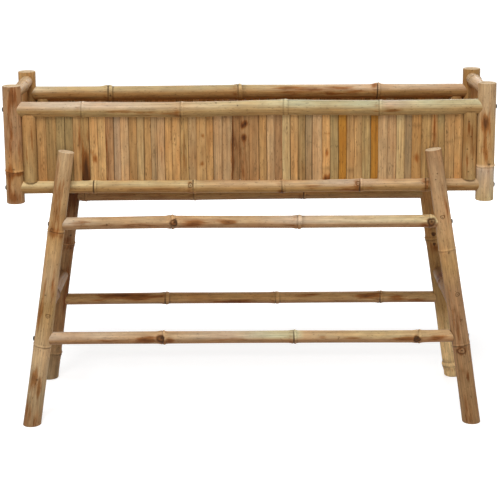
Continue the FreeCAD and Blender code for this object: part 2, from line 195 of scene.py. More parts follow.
# %% Marks on bamboo
RUST = (0.60, 0.39, 0.24, 1.0)
CHAR = (0.34, 0.31, 0.30, 1.0)
PITH = (0.33, 0.21, 0.12, 1.0)
CUT_FIBRE = (0.60, 0.46, 0.30, 1.0)
RAGGED_RATE, PORE_RATE = (140, 140, 22), (900, 900, 2)  # repeats in a metre: across, through, along
RAGGED_EDGE, SCORCH_STARTS = (-0.5, 0.5), (0.0, 0.25)  # amounts of scorch
BROWNS, CHARS = (0.15, 0.85), (0.9, 1.9)
PORE_EDGE, PORE_DARK = (0.1, 0.45), 0.6
KNOT_HEART, RIM_INSIDE, RIM_OUTSIDE = (0.015, 0.05), (0.06, 0.085), (0.085, 0.12)  # shares of a cell
KNOT_WAVES, KNOT_SWAY, RIM_DARK = 9.0, 0.09, 0.5


def scorched(tree, grain, scorch, colour):
    """A colour browned where it is lightly scorched and charred where it is strongly scorched."""
    ragged = remap(tree, noise(tree, grain, RAGGED_RATE, 6.0), *MIDDLE, *RAGGED_EDGE)
    ragged = reckon(tree, "ADD", scorch, ragged)
    stained = remap(tree, ragged, *BROWNS, 0, 1)
    stained = reckon(tree, "MULTIPLY", stained, remap(tree, scorch, *SCORCH_STARTS, 0, 1))
    colour = blend(tree, stained, colour, RUST, "MULTIPLY")
    return blend(tree, remap(tree, ragged, *CHARS, 0, 1), colour, CHAR, "MULTIPLY")


def small_knots(tree, grain, cell):
    """Sparse small knots: a dark heart and a ring about points strewn over the skin."""
    parts = add(tree, "ShaderNodeSeparateXYZ", {0: grain}).outputs
    flat = add(tree, "ShaderNodeCombineXYZ", {0: parts[0], 1: parts[2]}).outputs[0]
    flat = reckon_place(tree, "MULTIPLY", flat, cell)
    sway = add(tree, "ShaderNodeTexNoise", {"Vector": flat, "Scale": KNOT_WAVES, "Detail": 2.0})
    flat = reckon_place(tree, "ADD", flat, dim(tree, sway.outputs["Color"], KNOT_SWAY))
    spots = add(tree, "ShaderNodeTexVoronoi", {"Vector": flat, "Scale": 1.0}, voronoi_dimensions="2D")
    away = spots.outputs["Distance"]
    rim = remap(tree, away, *RIM_INSIDE, 0.0, RIM_DARK)
    rim = reckon(tree, "MULTIPLY", rim, remap(tree, away, *RIM_OUTSIDE, 1.0, 0.0))
    return reckon(tree, "MAXIMUM", remap(tree, away, *KNOT_HEART, 1.0, 0.0), rim)


def cut_end(tree, grain):
    """Colour of a cut end: pale fibre with dark pores."""
    spread = reckon_place(tree, "MULTIPLY", grain, PORE_RATE)
    pores = add(tree, "ShaderNodeTexVoronoi", {"Vector": spread, "Scale": 1.0}).outputs["Distance"]
    return blend(tree, remap(tree, pores, *PORE_EDGE, PORE_DARK, 0.0), CUT_FIBRE, PITH)


print("pores in a metre:", PORE_RATE[0])

# %% [markdown]
# The skin itself is its own colour times several noises: broad streaks, fine fibres, mottled
# patches, dark specks and clouds of a warmer tone. One function makes all three bamboo finishes,
# and they differ in how strong each noise is, how glossy the skin is and whether it has small knots.

# %% Bamboo finishes
WARMTH = (0.95, 0.84, 0.75, 1.0)
# dark brown for joint lines, knots and dots, and for the painted shade in the seams between slats
DIRT_AND_SEAM_SHADE = (0.045, 0.022, 0.009, 1.0)
STREAK_RATE, FIBRE_RATE, SPECK_RATE = (190, 190, 4), (470, 470, 8), (330, 330, 120)
CLOUD_RATE, PATCH_RATE = (36, 36, 9), (130, 130, 34)
SPECK_NOISE, CLOUD_NOISE = (0.60, 0.74), (0.42, 0.66)  # where specks and clouds fade in
KNOT_DARK, CUT_ROUGHER = 0.55, 0.3
SKIN_BUMP = (0.35, 0.0007)  # strength, and depth in metres
SKIN_SHEEN = 0.1


def bamboo(name, streaks, fibres, clouds, specks, rough, knot_cell=None):
    """A bamboo skin: its own colour, streaked, mottled and specked along the fibre.

    streaks, fibres, clouds and specks say how far each darkens the skin, rough is its least and
    most roughness, and knot_cell says how many knots come to a metre across and along.
    """
    made, tree, shader = new_finish(name)
    grain = layer(tree, "grain").outputs["Vector"]
    marks = add(tree, "ShaderNodeSeparateColor", {0: layer(tree, "marks").outputs["Color"]})
    scorch, joint, cut = marks.outputs
    broad, fine = noise(tree, grain, STREAK_RATE), noise(tree, grain, FIBRE_RATE)
    cloud, patch = noise(tree, grain, CLOUD_RATE, 4.0), noise(tree, grain, PATCH_RATE, 6.0)
    speck = remap(tree, noise(tree, grain, SPECK_RATE, 2.0), *SPECK_NOISE, 1.0, 1 - specks)

    light = reckon(tree, "MULTIPLY", swing(tree, broad, streaks), swing(tree, fine, fibres))
    light = reckon(tree, "MULTIPLY", light, swing(tree, patch, clouds))
    colour = dim(tree, layer(tree, "skin").outputs["Color"], reckon(tree, "MULTIPLY", light, speck))
    colour = blend(tree, remap(tree, cloud, *CLOUD_NOISE, 0, 1), colour, WARMTH, "MULTIPLY")
    colour = scorched(tree, grain, scorch, colour)
    if knot_cell:
        knots = reckon(tree, "MULTIPLY", small_knots(tree, grain, knot_cell), KNOT_DARK)
        joint = reckon(tree, "MAXIMUM", joint, knots)
    colour = blend(tree, joint, colour, DIRT_AND_SEAM_SHADE)
    tree.links.new(blend(tree, cut, colour, cut_end(tree, grain)), shader.inputs["Base Color"])
    gloss = reckon(tree, "MULTIPLY", cut, CUT_ROUGHER)
    gloss = reckon(tree, "ADD", remap(tree, patch, *MIDDLE, *rough), gloss)
    tree.links.new(gloss, shader.inputs["Roughness"])
    emboss(tree, shader, reckon(tree, "ADD", fine, broad), *SKIN_BUMP)
    shader.inputs["Specular IOR Level"].default_value = SKIN_SHEEN
    return made


straw_skin = bamboo("straw_bamboo_skin", 0.12, 0.17, 0.14, 0.42, (0.46, 0.62))
brown_skin = bamboo("brown_bamboo_skin", 0.13, 0.18, 0.17, 0.46, (0.50, 0.66))
split_skin = bamboo("split_bamboo_skin", 0.11, 0.27, 0.16, 0.42, (0.55, 0.72), (22, 6.5, 1))
print("bamboo finishes:", straw_skin.name, brown_skin.name, split_skin.name)

# %% [markdown]
# ## Wood and steel
# Dowels and pegs are turned hardwood, mostly hidden in their holes. Screws and bolts are blackened
# steel with a worn, uneven gloss. Both patterns sit on Object coordinates, which stay with the part,
# and for such small things one noise can drive colour, roughness and bump together.


# %% Dowel wood and dark steel
def simple_finish(name, rate, detail, spread, colours, rough, bump, metal):
    """A finish from one noise: two colours, a roughness and a bump that all follow it."""
    made, tree, shader = new_finish(name)
    place = tree.nodes.new("ShaderNodeTexCoord").outputs["Object"]
    grain = noise(tree, place, rate, detail)
    colour = blend(tree, remap(tree, grain, *spread, 0, 1), *colours)
    tree.links.new(colour, shader.inputs["Base Color"])
    tree.links.new(remap(tree, grain, *MIDDLE, *rough), shader.inputs["Roughness"])
    emboss(tree, shader, grain, *bump)
    shader.inputs["Metallic"].default_value = metal
    return made


dowel_wood = simple_finish(
    "dowel_hardwood", rate=(260, 90, 260), detail=4.0, spread=(0.35, 0.65),
    colours=((0.55, 0.38, 0.20, 1), (0.68, 0.50, 0.29, 1)), rough=(0.55, 0.7), bump=(0.3, 0.0004),
    metal=0.0,
)
dark_steel = simple_finish(
    "blackened_steel", rate=(600, 600, 600), detail=5.0, spread=(0.45, 0.7),
    colours=((0.020, 0.018, 0.016, 1), (0.065, 0.059, 0.053, 1)), rough=(0.55, 0.32), bump=(0.25, 0.0002),
    metal=0.85,
)
print("other finishes:", dowel_wood.name, dark_steel.name)

# %% [markdown]
# ## Putting a surface into the scene
# Every new piece is an array of points on a grid. One function turns rows of points into a closed
# tube, another hangs the layers on it, and a third names it, gives it its finish and hides the solid that
# it stands for.
# Points are already where they belong, so each object stays at the origin, unturned.

# %% From points to pieces
CULM_CREASE, EDGE_CREASE = 38, 30  # degrees, past which an edge looks sharp


def tube(name, rows, low_tip, high_tip):
    """A mesh of rows of points round a tube, each end closed by a fan of triangles to its tip."""
    count, around = rows.shape[:2]
    index = np.arange(count * around).reshape(count, around)
    after = np.roll(index, -1, axis=1)
    sides = np.stack([index[:-1], after[:-1], after[1:], index[1:]], -1).reshape(-1, 4)
    low = np.stack([np.full(around, count * around), after[0], index[0]], -1)
    high = np.stack([np.full(around, count * around + 1), index[-1], after[-1]], -1)
    points = np.concatenate([rows.reshape(-1, 3), [low_tip, high_tip]])
    mesh = bpy.data.meshes.new(name)
    mesh.from_pydata(points.tolist(), [], sides.tolist() + low.tolist() + high.tolist())
    return mesh


def hang_layers(mesh, skin, marks, grain):
    """Keep a colour, three marks and a grain place at each point of a mesh."""
    for name, values in (("skin", skin), ("marks", marks)):
        full = np.concatenate([values, np.ones((len(values), 1))], 1).astype(np.float32)
        mesh.attributes.new(name, "FLOAT_COLOR", "POINT").data.foreach_set("color", full.ravel())
    spot = mesh.attributes.new("grain", "FLOAT_VECTOR", "POINT")
    spot.data.foreach_set("vector", grain.astype(np.float32).ravel())


def finish_piece(name, mesh, material, slot, node, crease):
    """Name a mesh's piece, give it its finish and hide the solid that it stands for."""
    mesh.polygons.foreach_set("use_smooth", np.ones(len(mesh.polygons), bool))
    mesh.set_sharp_from_angle(angle=math.radians(crease))
    mesh.materials.append(material)
    piece = bpy.data.objects.new(name, mesh)
    bpy.context.scene.collection.objects.link(piece)
    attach(piece, "root")
    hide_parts(node)
    return piece


def chance(name):
    """Random draws that belong to one piece, the same on every run."""
    return np.random.default_rng([ord(letter) for letter in name])


print("creases in degrees:", CULM_CREASE, EDGE_CREASE)

# %% [markdown]
# ## The shape of a culm
# A bamboo culm is a tapering tube that swells at each joint, where a thin groove shows the place of
# the leaf sheath. Between joints it is slightly waisted, it is never quite round, and it changes
# direction a little at each joint. A lathe would make it too perfect. Here the radius is a
# function of the place along the culm and of the angle round it, so all of this is one formula.
# An end is either sawn square, or coped: hollowed like a fish's mouth to fit the pole that it meets.

# %% Lines along a culm, and where a cut stops them
EASE = 0.010  # length over which lines near a cope are stretched to meet it
CHAMFER = 0.0012
STEP, TOO_CLOSE = 0.012, 2e-4  # usual distance between rows of points, and the least from an end
CLOSE_ROWS, END_ROWS = 25, 7


def pole_axes(start, end, front):
    """Length of a pole, and unit vectors along it, towards its front and square to both."""
    along = end - start
    length = np.linalg.norm(along)
    along = along / length
    face = front - (front @ along) * along
    face = face / np.linalg.norm(face)
    return length, along, face, np.cross(along, face)


def reach(cut, start, along, offsets):
    """How far along a pole each of its lines runs to a cut.

    A square cut is at one distance. A level cut is a plane at one height. A cope is the round side
    of a neighbour: the line meets it where its distance from the neighbour's axis is the
    neighbour's radius, which is a quadratic, and the sign picks the near or far side. A cope goes no
    further out than its limit.
    """
    kind, *facts = cut
    points = start + offsets
    if kind == "square":
        return np.full(len(points), facts[0])
    if kind == "level":
        return (facts[0] - points[:, 2]) / along[2]
    centre, axis, radius, sign, limit = facts
    gap = points - centre
    gap = gap - np.outer(gap @ axis, axis)
    run = along - (along @ axis) * axis
    a, b, c = run @ run, gap @ run, (gap * gap).sum(1) - radius**2
    met = (-b + sign * np.sqrt(np.maximum(b * b - a * c, 0))) / a
    return np.maximum(met, limit) if sign > 0 else np.minimum(met, limit)


def stations(low, high, dense):
    """Places along a pole: even steps, with closer ones about joints, scars and both ends."""
    near = [spot + np.linspace(-half, half, CLOSE_ROWS) for spot, half in dense]
    ends = [low + np.linspace(0, EASE, END_ROWS), high - np.linspace(0, EASE, END_ROWS)]
    every = np.concatenate([np.arange(low, high, STEP), *near, *ends])
    every = np.unique(np.round(every[(every > low) & (every < high)], 4))
    return np.concatenate([[low], every[(every > low + TOO_CLOSE) & (every < high - TOO_CLOSE)], [high]])


def places_along(start, along, ring, radii, cuts, dense):
    """Places along each line of a pole: stations, eased so that the end rows follow the cuts."""
    trims = [0.0 if cut[0] == "cope" else CHAMFER for cut in cuts]
    first = reach(cuts[0], start, along, radii[0] * ring) + trims[0]
    last = reach(cuts[1], start, along, radii[1] * ring) - trims[1]
    steps = stations(first.max(), last.min(), dense)[:, None]
    near_low = np.clip(1 - (steps - first.max()) / EASE, 0, 1)
    near_high = np.clip(1 - (last.min() - steps) / EASE, 0, 1)
    return steps + near_low * (first - first.max()) + near_high * (last - last.min())


print("usual step along a culm:", STEP, "m")

# %% [markdown]
# ## Joints
# A joint is a swelling with two grooves: the leaf sheath sat in the lower one, and a lip stands
# between them. Dirt gathers in the grooves, the lip is worn pale, and the skin below is often
# scorched. A ring could be modelled and copied, but bell curves of the distance from the joint
# give every joint its own size, lean and strength for a line of code each.

# %% Joints of a culm
SWELLING, SWELLING_HALF = 0.0011, 0.008  # metres that a joint stands out, and how far along
LIP = 0.0007
GROOVE, GROOVE_HALF, GROOVE_INK = 0.0010, 0.0011, 0.0018
UPPER, UPPER_HALF, UPPER_INK = 0.0006, 0.0010, 0.0016  # the same for the upper groove
PLAIN_JOINT, DOUBLE_JOINT = (0.0072, 0.25), (0.0115, 0.85)  # metres to the upper groove, its strength
JOINT_LEAN, JOINT_BURN = 0.001, 0.007


def bell(gap, half, power=2):
    """A bell curve: 1 at no gap, about a third at its half, and flatter on top at a higher power."""
    return np.exp(-((gap / half) ** power))


def add_joints(coat, rng, look, joints, place, length, theta):
    """Swell, groove, ink and scorch a culm at its joints.

    A joint adds a wide bell to the radius and a narrower one for the lip, and takes away two narrow
    ones for the grooves. Its place leans with the cosine of the angle round the culm.
    """
    ink = look.get("ink", 1.0)
    for number, spot in enumerate(joints):
        swell = look.get("swell", 1.0) * rng.uniform(0.7, 1.2)
        upper, faint = DOUBLE_JOINT if number in look.get("double", ()) else PLAIN_JOINT
        lean = rng.uniform(0.2, 1.3) * JOINT_LEAN * np.cos(theta - rng.uniform(0, 2 * np.pi))
        gap = place - spot * length - lean
        coat.radius += swell * SWELLING * bell(gap, SWELLING_HALF)
        coat.radius += swell * LIP * bell(gap - upper / 2, upper / 3)
        coat.radius -= GROOVE * bell(gap, GROOVE_HALF) + faint * UPPER * bell(gap - upper, UPPER_HALF)
        depth = ink * np.clip(0.7 + 0.4 * np.cos(theta - rng.uniform(0, 2 * np.pi)), 0, 1)
        coat.line = np.maximum(coat.line, depth * bell(gap, GROOVE_INK))
        coat.line = np.maximum(coat.line, faint * depth * bell(gap - upper, UPPER_INK))
        coat.pale += bell(gap - upper / 2, 0.45 * upper)
        coat.scorch += ink * rng.uniform(0.1, 0.5) * bell(gap + JOINT_BURN, JOINT_BURN)


print("a joint stands out by about", SWELLING, "m")

# %% [markdown]
# ## Scars and stains
# Where a branch was cut, a culm keeps a scar: a knot with a charred heart, a ring, an eye, a plain
# lump or only a dark dot. Real ones are never round, so one and three waves bend each outline.
# Stains are soft scorched ovals. A picture could be stamped on, but here a scar also has to rise
# and sink, so shape and colour come from one distance out from its middle.

# %% Scars and stains of a culm
MM = 0.001
SCAR_WIDE = 1.05  # width of a scar for its length


def turn_from(theta, degrees):
    """Angle round a pole measured from a mark, between minus and plus a half turn."""
    return (theta - math.radians(degrees) + np.pi) % (2 * np.pi) - np.pi


def add_scars(coat, scars, place, length, theta):
    """Raise, sink, ink and scorch a culm at its scars.

    All is measured out from a scar's middle in its own size, and the outline is a circle bent by
    one and three waves. A rim is a bell about 0.86, and the heart is a bell a little off the middle.
    """
    for spot, degrees, millimetres, kind in scars:
        size = millimetres * MM
        forward = (place - spot * length) / size
        across = coat.radius * turn_from(theta, degrees) / (SCAR_WIDE * size)
        bearing, phase = np.arctan2(across, forward), 40 * spot + size * 900
        uneven = 1 + 0.13 * np.cos(bearing - phase) + 0.10 * np.cos(3 * bearing + 2 * phase)
        out = np.hypot(forward, across) * uneven
        rim = bell(out - 0.86, 0.32) * (0.85 + 0.15 * np.cos(bearing + phase))
        heart = bell(np.hypot(forward - 0.12, across + 0.15), 0.4)
        dark = 0.0
        if kind == "knot":
            coat.radius += 0.22 * size * bell(out, 1.2) - 0.25 * size * heart
            coat.scorch += 0.9 * bell(out, 1.1, 6)
            coat.pale += 0.8 * bell(out - 1.75, 0.5)
            dark = rim + heart
        elif kind == "ring":
            coat.radius += 0.10 * size * rim
            coat.scorch += 0.3 * bell(out, 1.2)
            dark = 0.7 * rim
        elif kind == "eye":
            coat.radius += 0.16 * size * bell(out, 1.1, 4)
            coat.scorch += 0.5 * bell(out - 0.9, 0.35)
            dark = 0.72 * bell(out - 0.85, 0.2) + bell(out, 0.25)
        elif kind == "lump":
            coat.radius += 0.22 * size * bell(out, 1.1)
        elif kind == "dot":
            dark = 0.9 * bell(out, 1.0)
        coat.line = np.maximum(coat.line, dark)


def add_stains(coat, stains, place, length, theta):
    """Scorch a culm in ovals: a bell of the distance along times a bell of the distance round."""
    for spot, degrees, half_long, half_wide, strength in stains:
        gap = (place - spot * length) / (half_long * MM)
        wide = coat.radius * turn_from(theta, degrees) / (half_wide * MM)
        coat.scorch += strength * np.exp(-(gap**2 + wide**2))


print("kinds of scars: knot, ring, eye, lump, dot")

# %% [markdown]
# ## Ends, notches and skins along a culm
# A sawn end is a rim of wall round a shallow hollow, so its rings step inwards and down. A coped end
# keeps to the cut itself. A leg is notched where a rail lies in it: there its radius stops at the
# rail's surface. A skin is a blend between named colours at chosen shares of the length.

# %% Ends, notches and skins
COPED = ((0.7, 0.0), (0.35, 0.0))  # rings of an end: share of its outline, metres sunk
SAWN = ((0.94, 0.0), (0.66, 0.0), (0.62, 0.003), (0.30, 0.0045))
UNCUT = 1.0  # a radius past any culm's, where no notch reaches


def end_cap(cut, start, along, offsets, sign):
    """Rings of points that close an end, each a share of the end's outline, and the tip point."""
    rings = COPED if cut[0] == "cope" else SAWN
    rows = []
    for part, sunk in rings:
        far = reach(cut, start, along, part * offsets) - sign * sunk
        rows.append(start + part * offsets + far[:, None] * along)
    tip = reach(cut, start, along, np.zeros((1, 3)))[0] - sign * rings[-1][1]
    return np.array(rows), start + tip * along


def clear_of(notch, centre, ring):
    """Radius at which a culm's ray meets the round neighbour that it is notched for: a quadratic."""
    middle, axis, size = notch
    gap = centre - middle
    gap = gap - (gap @ axis)[..., None] * axis
    run = ring - np.outer(ring @ axis, axis)
    a = np.maximum((run * run).sum(-1), 1e-9)
    b = (gap * run).sum(-1)
    c = (gap * gap).sum(-1) - size**2
    inside = b * b - a * c
    met = (-b - np.sqrt(np.maximum(inside, 0))) / a
    return np.where((inside > 0) & (b < 0), met, UNCUT)


def skin_along(stops, share):
    """Skin colour at each share of a pole's length, blended between named stops."""
    colours = np.array([SKIN_LIGHT[name] for name in stops.values()])
    return np.stack([np.interp(share, list(stops), colours[:, k]) for k in range(3)], -1)


print("rings of a sawn end:", len(SAWN))

# %% [markdown]
# ## Radius and skin of a culm
# The radius starts as a taper, a little oval and waisted between joints. Joints and scars then change
# it, and these and stains add their marks. Separate arrays could be handed from step to step, but it
# is simpler to keep radius and marks together in one coat that each step works on.

# %% Radius and skin of a culm
WAIST, OVAL = 0.022, 0.014  # usual shares of the radius
TONE_VARIES, LIP_PALER = 0.045, 0.16


def culm_coat(rng, look, radii, scars, place, length, theta):
    """Radius, scorch, dark line and paleness at every point of a culm.

    Radius = taper between the end radii
           x (1 + a little twice round the circle - a waist between joints)
           + swelling, lip and grooves at each joint + what each scar raises or sinks.
    """
    joints, share = look.get("joints", ()), place / length
    limits = np.array([0.0, *joints, 1.0])
    bay = np.clip(np.searchsorted(limits, share, side="right") - 1, 0, len(limits) - 2)
    within = (share - limits[bay]) / (limits[bay + 1] - limits[bay])
    waist = look.get("waist", WAIST) * np.sin(np.pi * np.clip(within, 0, 1))
    oval = look.get("oval", OVAL) * np.cos(2 * (theta - rng.uniform(0, np.pi)))
    radius = (radii[0] + (radii[1] - radii[0]) * share) * (1 + oval - waist)
    scorch, line, pale = np.zeros((3, *radius.shape))
    coat = SimpleNamespace(radius=radius, scorch=scorch, line=line, pale=pale)
    coat.share, coat.bay, coat.limits = share, bay, limits
    add_joints(coat, rng, look, joints, place, length, theta)
    add_scars(coat, scars, place, length, theta)
    add_stains(coat, look.get("stains", ()), place, length, theta)
    return coat


def culm_skin(rng, look, coat, ring):
    """Skin and marks of a culm: its named skins times a tone for each bay, and painted shade on its
    underside.
    """
    tone = 1 + TONE_VARIES * rng.standard_normal(len(coat.limits) - 1)
    skin = skin_along(look["skin"], coat.share) * (tone[coat.bay] * (1 + LIP_PALER * coat.pale))[..., None]
    # a lying culm's underside is blended towards a darker skin: painted shade
    if "belly" in look:
        shade_skin, high, span = look["belly"]
        shade_share = np.clip((high - ring[:, 2]) / span, 0, 1)[None, :, None]
        skin = skin * (1 - shade_share) + SKIN_LIGHT[shade_skin] * shade_share
    marks = [np.clip(coat.scorch, 0, 2), np.clip(coat.line, 0, 1), np.zeros_like(coat.line)]
    return skin, np.stack(marks, -1)


print("usual waist of a culm:", WAIST)

# %% [markdown]
# ## A whole culm
# Now the parts come together. Points lie on a grid of places along the culm and angles round it. The
# grid is finer near joints and scars, where the shape changes quickly, and coarse between them.

# %% A whole culm
AROUND = 96
SWAY = 0.0012  # metres by which a culm usually bends at a joint
BRANCHES, BRANCH_ABOVE = 0.5, 0.006  # chance of a branch scar behind a joint, and its share above it
JOINT_CLOSE = 0.012  # metres about a joint that have closer rows
SCAR_CLOSE, STAIN_CLOSE = 0.0018, 0.0016  # the same for each millimetre of a scar or a short stain
SHORT_STAIN = 20  # millimetres
GRAIN_FAR = 4.0  # metres up to which patterns are moved apart, so that no two pieces match


def culm(name, start, end, radii, front, cuts, look):
    """Rows of points, tips and layers of one culm.

    Point = a place on the axis + radius x a direction round it. The axis bends by straight pieces
    from joint to joint, and both ends stay where they are.
    """
    rng = chance(name)
    start, end = np.asarray(start, float), np.asarray(end, float)
    length, along, face, side = pole_axes(start, end, np.asarray(front, float))
    theta = np.linspace(0, 2 * np.pi, AROUND, endpoint=False)
    ring = np.outer(np.cos(theta), face) + np.outer(np.sin(theta), side)
    joints, stains = look.get("joints", ()), look.get("stains", ())
    scars = list(look.get("scars", ()))
    for spot in joints:
        if rng.random() < BRANCHES:
            scars.append((spot + BRANCH_ABOVE, rng.uniform(110, 250), rng.uniform(3, 5), "ring"))
    dense = [(spot * length, JOINT_CLOSE) for spot in joints]
    dense += [(spot * length, SCAR_CLOSE * size) for spot, _, size, _ in scars]
    dense += [(spot * length, STAIN_CLOSE * long) for spot, _, long, _, _ in stains if long < SHORT_STAIN]
    place = places_along(start, along, ring, radii, cuts, dense)
    coat = culm_coat(rng, look, radii, scars, place, length, theta)

    sway = look.get("sway", SWAY) * rng.standard_normal((2, len(coat.limits)))
    sway[:, [0, -1]] = 0
    centre = start + place[..., None] * along
    centre = centre + np.interp(coat.share, coat.limits, sway[0])[..., None] * face
    centre = centre + np.interp(coat.share, coat.limits, sway[1])[..., None] * side
    if "notch" in look:
        coat.radius = np.minimum(coat.radius, clear_of(look["notch"], centre, ring))
    points = centre + coat.radius[..., None] * ring
    if "planed" in look:
        points[..., 2] = np.minimum(points[..., 2], look["planed"])

    skin, marks = culm_skin(rng, look, coat, ring)
    low, low_tip = end_cap(cuts[0], start, along, coat.radius[0][:, None] * ring, -1)
    high, high_tip = end_cap(cuts[1], start, along, coat.radius[-1][:, None] * ring, 1)
    rows = np.concatenate([low[::-1], points, high])
    skin = np.pad(skin, ((len(low), len(high)), (0, 0), (0, 0)), "edge")
    skin = np.concatenate([skin.reshape(-1, 3), skin[0, :1], skin[-1, :1]])
    cut_mark = np.array([[0.0, 0.0, 1.0]])
    low_marks, high_marks = (cut_mark.repeat(cap[..., 0].size, 0) for cap in (low, high))
    marks = np.concatenate([low_marks, marks.reshape(-1, 3), high_marks, cut_mark, cut_mark])
    whole = np.concatenate([rows.reshape(-1, 3), [low_tip, high_tip]]) - start
    grain = np.stack([whole @ face, whole @ side, whole @ along], -1)
    return rows, (low_tip, high_tip), (skin, marks, grain + rng.uniform(-GRAIN_FAR, GRAIN_FAR, 3))


print("points round a culm:", AROUND)

# %% [markdown]
# ## How each culm looks
# No two culms are alike, and the photograph shows which is which: a straw-coloured front rail that
# turns green to the right, reddish legs and posts with scorch marks, cut branches that left rings.
# Each culm has a short entry. It holds the shares of its length where joints sit, and its skins at
# shares of its length, held on past the first and last. Scars are (share, angle, millimetres, kind)
# and stains (share, angle, half length, half width, strength), also in millimetres. Angle 0 looks to
# the front, or up on a pole that runs from front to back. On a pole along the bed 90 looks down, and
# on a standing pole 90 looks right.
# Swell and ink say how strong its joints are in shape and colour, and double which of them have two
# strong grooves. Underside shade is a darker skin painted as shade on its underside, with the height where
# it starts, from -1 at the bottom to 1 at the top, and the span over which it comes in. Waist, oval and
# sway stand in for the usual ones.

# %% Looks of posts and uprights
LOOKS = {}
LOOKS["post_front_left"] = dict(
    joints=(0.268,),
    ink=0.5,
    skin={0: "brown", 0.3: "tan", 0.5: "brown"},
    scars=[(0.30, 5, 2, "dot")],
    stains=[
        (0.90, 12, 26, 11, 1.3), (0.62, -10, 46, 7, 0.6), (0.27, -30, 16, 9, 1.1), (0.06, 0, 14, 13, 0.9),
        (0.26, 34, 5, 14, 1.2), (0.5, 40, 40, 5, 0.5), (0.16, -30, 30, 5, 0.8),
    ],
)
LOOKS["post_front_right"] = dict(
    joints=(0.285,),
    ink=0.22,
    skin={0: "straw", 0.27: "rosy", 0.32: "honey", 0.6: "honey", 0.8: "fawn"},
    scars=[(0.315, 16, 3.0, "dot")],
    stains=[(0.67, -12, 18, 8, 1.7), (0.58, -10, 42, 11, 0.75), (0.42, -2, 26, 9, 0.6)],
)
LOOKS["post_back_left"] = dict(
    joints=(0.62,),
    skin={0: "tan", 0.8: "nut", 1: "tan"},
    stains=[(0.90, 20, 16, 8, 0.9), (0.85, -20, 20, 8, 0.4)],
)
LOOKS["post_back_right"] = dict(
    joints=(0.60,),
    skin={0: "nut"},
    stains=[(0.88, -30, 16, 8, 0.6), (0.8, 35, 40, 9, 0.6)],
)
LOOKS["upright_front_left"] = dict(
    skin={0: "drab", 1: "tan"},
    stains=[(0.5, -20, 30, 3, 0.5), (0.6, 25, 40, 3, 0.4)],
)
LOOKS["upright_front_right"] = dict(
    skin={0: "drab", 0.3: "tan", 0.6: "nut", 1: "drab"},
    scars=[
        (0.18, -12, 1.6, "dot"), (0.34, 18, 1.4, "dot"), (0.47, -24, 1.7, "dot"), (0.63, 4, 1.5, "dot"),
        (0.82, -16, 1.6, "dot"),
    ],
    stains=[(0.6, 10, 40, 3, 0.7), (0.3, -30, 30, 4, 0.7), (0.75, -15, 20, 3, 0.7), (0.45, 30, 26, 3, 0.7)],
)
LOOKS["upright_back_left"] = dict(skin={0: "tan", 1: "drab"})
LOOKS["upright_back_right"] = dict(skin={0: "drab", 1: "tan"})
for look in LOOKS.values():
    look.update(waist=0.0, oval=0.004, sway=0.0)
print("looks of standing poles:", len(LOOKS))

# %% [markdown]
# Rails lie down, and the long ones are painted browner below than above, as shade on their undersides.
# The short entries at the end are the rails at both ends of the trough, which show least.

# %% Looks of the rails
LOOKS["rail_front_top"] = dict(
    joints=(0.146, 0.355, 0.572, 0.773),
    double=(2,),
    skin={0.2: "rosy", 0.5: "straw", 0.6: "green", 0.77: "green", 0.79: "rosy", 0.86: "green"},
    belly=("drab", 0.55, 0.65),
    scars=[(0.43, -60, 2.0, "dot"), (0.475, -30, 1.6, "dot"), (0.46, -65, 1.5, "dot")],
    stains=[(0.80, 10, 22, 7, 0.7), (0.24, 10, 60, 5, 0.6), (0.30, 30, 50, 6, 0.5), (0.07, 25, 30, 6, 0.4)],
)
LOOKS["rail_front_bottom"] = dict(
    joints=(0.168, 0.379, 0.567, 0.733, 0.874),
    skin={0.35: "oat", 0.45: "fawn", 0.62: "fawn", 0.7: "rosy", 0.8: "fawn"},
    belly=("nut", 0.50, 0.66),
    scars=[(0.374, -20, 5.5, "eye"), (0.729, -22, 5.0, "eye"), (0.09, -10, 1.5, "dot")],
    stains=[
        (0.72, 30, 40, 6, 0.9), (0.875, 0, 6, 14, 1.0), (0.95, 20, 40, 8, 0.5), (0.64, 0, 30, 7, 0.4),
        (0.3, 20, 50, 4, 0.4), (0.567, 40, 6, 7, 0.8),
    ],
)
LOOKS["rail_back_top"] = dict(
    joints=(0.182, 0.475, 0.787),
    double=(0, 1),
    swell=1.8,
    skin={0: "pale", 0.1: "straw", 0.5: "straw", 0.75: "cream"},
    belly=("nut", 0.68, 0.6),
    scars=[(0.188, 8, 2.6, "dot"), (0.176, -80, 9, "lump"), (0.787, -75, 9, "lump")],
    stains=[
        (0.60, 10, 60, 7, 0.6), (0.78, -60, 8, 8, 0.8), (0.7, 10, 40, 6, 0.5), (0.585, -45, 36, 4, 0.9),
        (0.64, -25, 44, 4, 1.0), (0.705, -40, 34, 4, 1.0), (0.745, -10, 22, 5, 0.9),
    ],
)
LOOKS["rail_back_bottom"] = dict(
    joints=(0.130, 0.335, 0.560, 0.745),
    skin={0: "straw", 1: "honey"},
    belly=("tan", 0.5, 0.8),
)
LOOKS["rail_left_top"] = dict(joints=(0.62,), swell=0.6, ink=0.5, skin={0: "honey", 1: "fawn"})
LOOKS["rail_right_top"] = dict(joints=(0.70,), swell=1.6, double=(0,), skin={0: "fawn"})
LOOKS["rail_left_bottom"] = dict(joints=(0.42,), skin={0: "tan"})
LOOKS["rail_right_bottom"] = dict(joints=(0.55,), skin={0: "tan", 1: "honey"})
print("looks of the trough:", len(LOOKS))

# %% [markdown]
# Legs are among the darkest culms. The front ones have calm joints and eyes where branches were cut, and
# the back ones swell more and change colour on their way up.

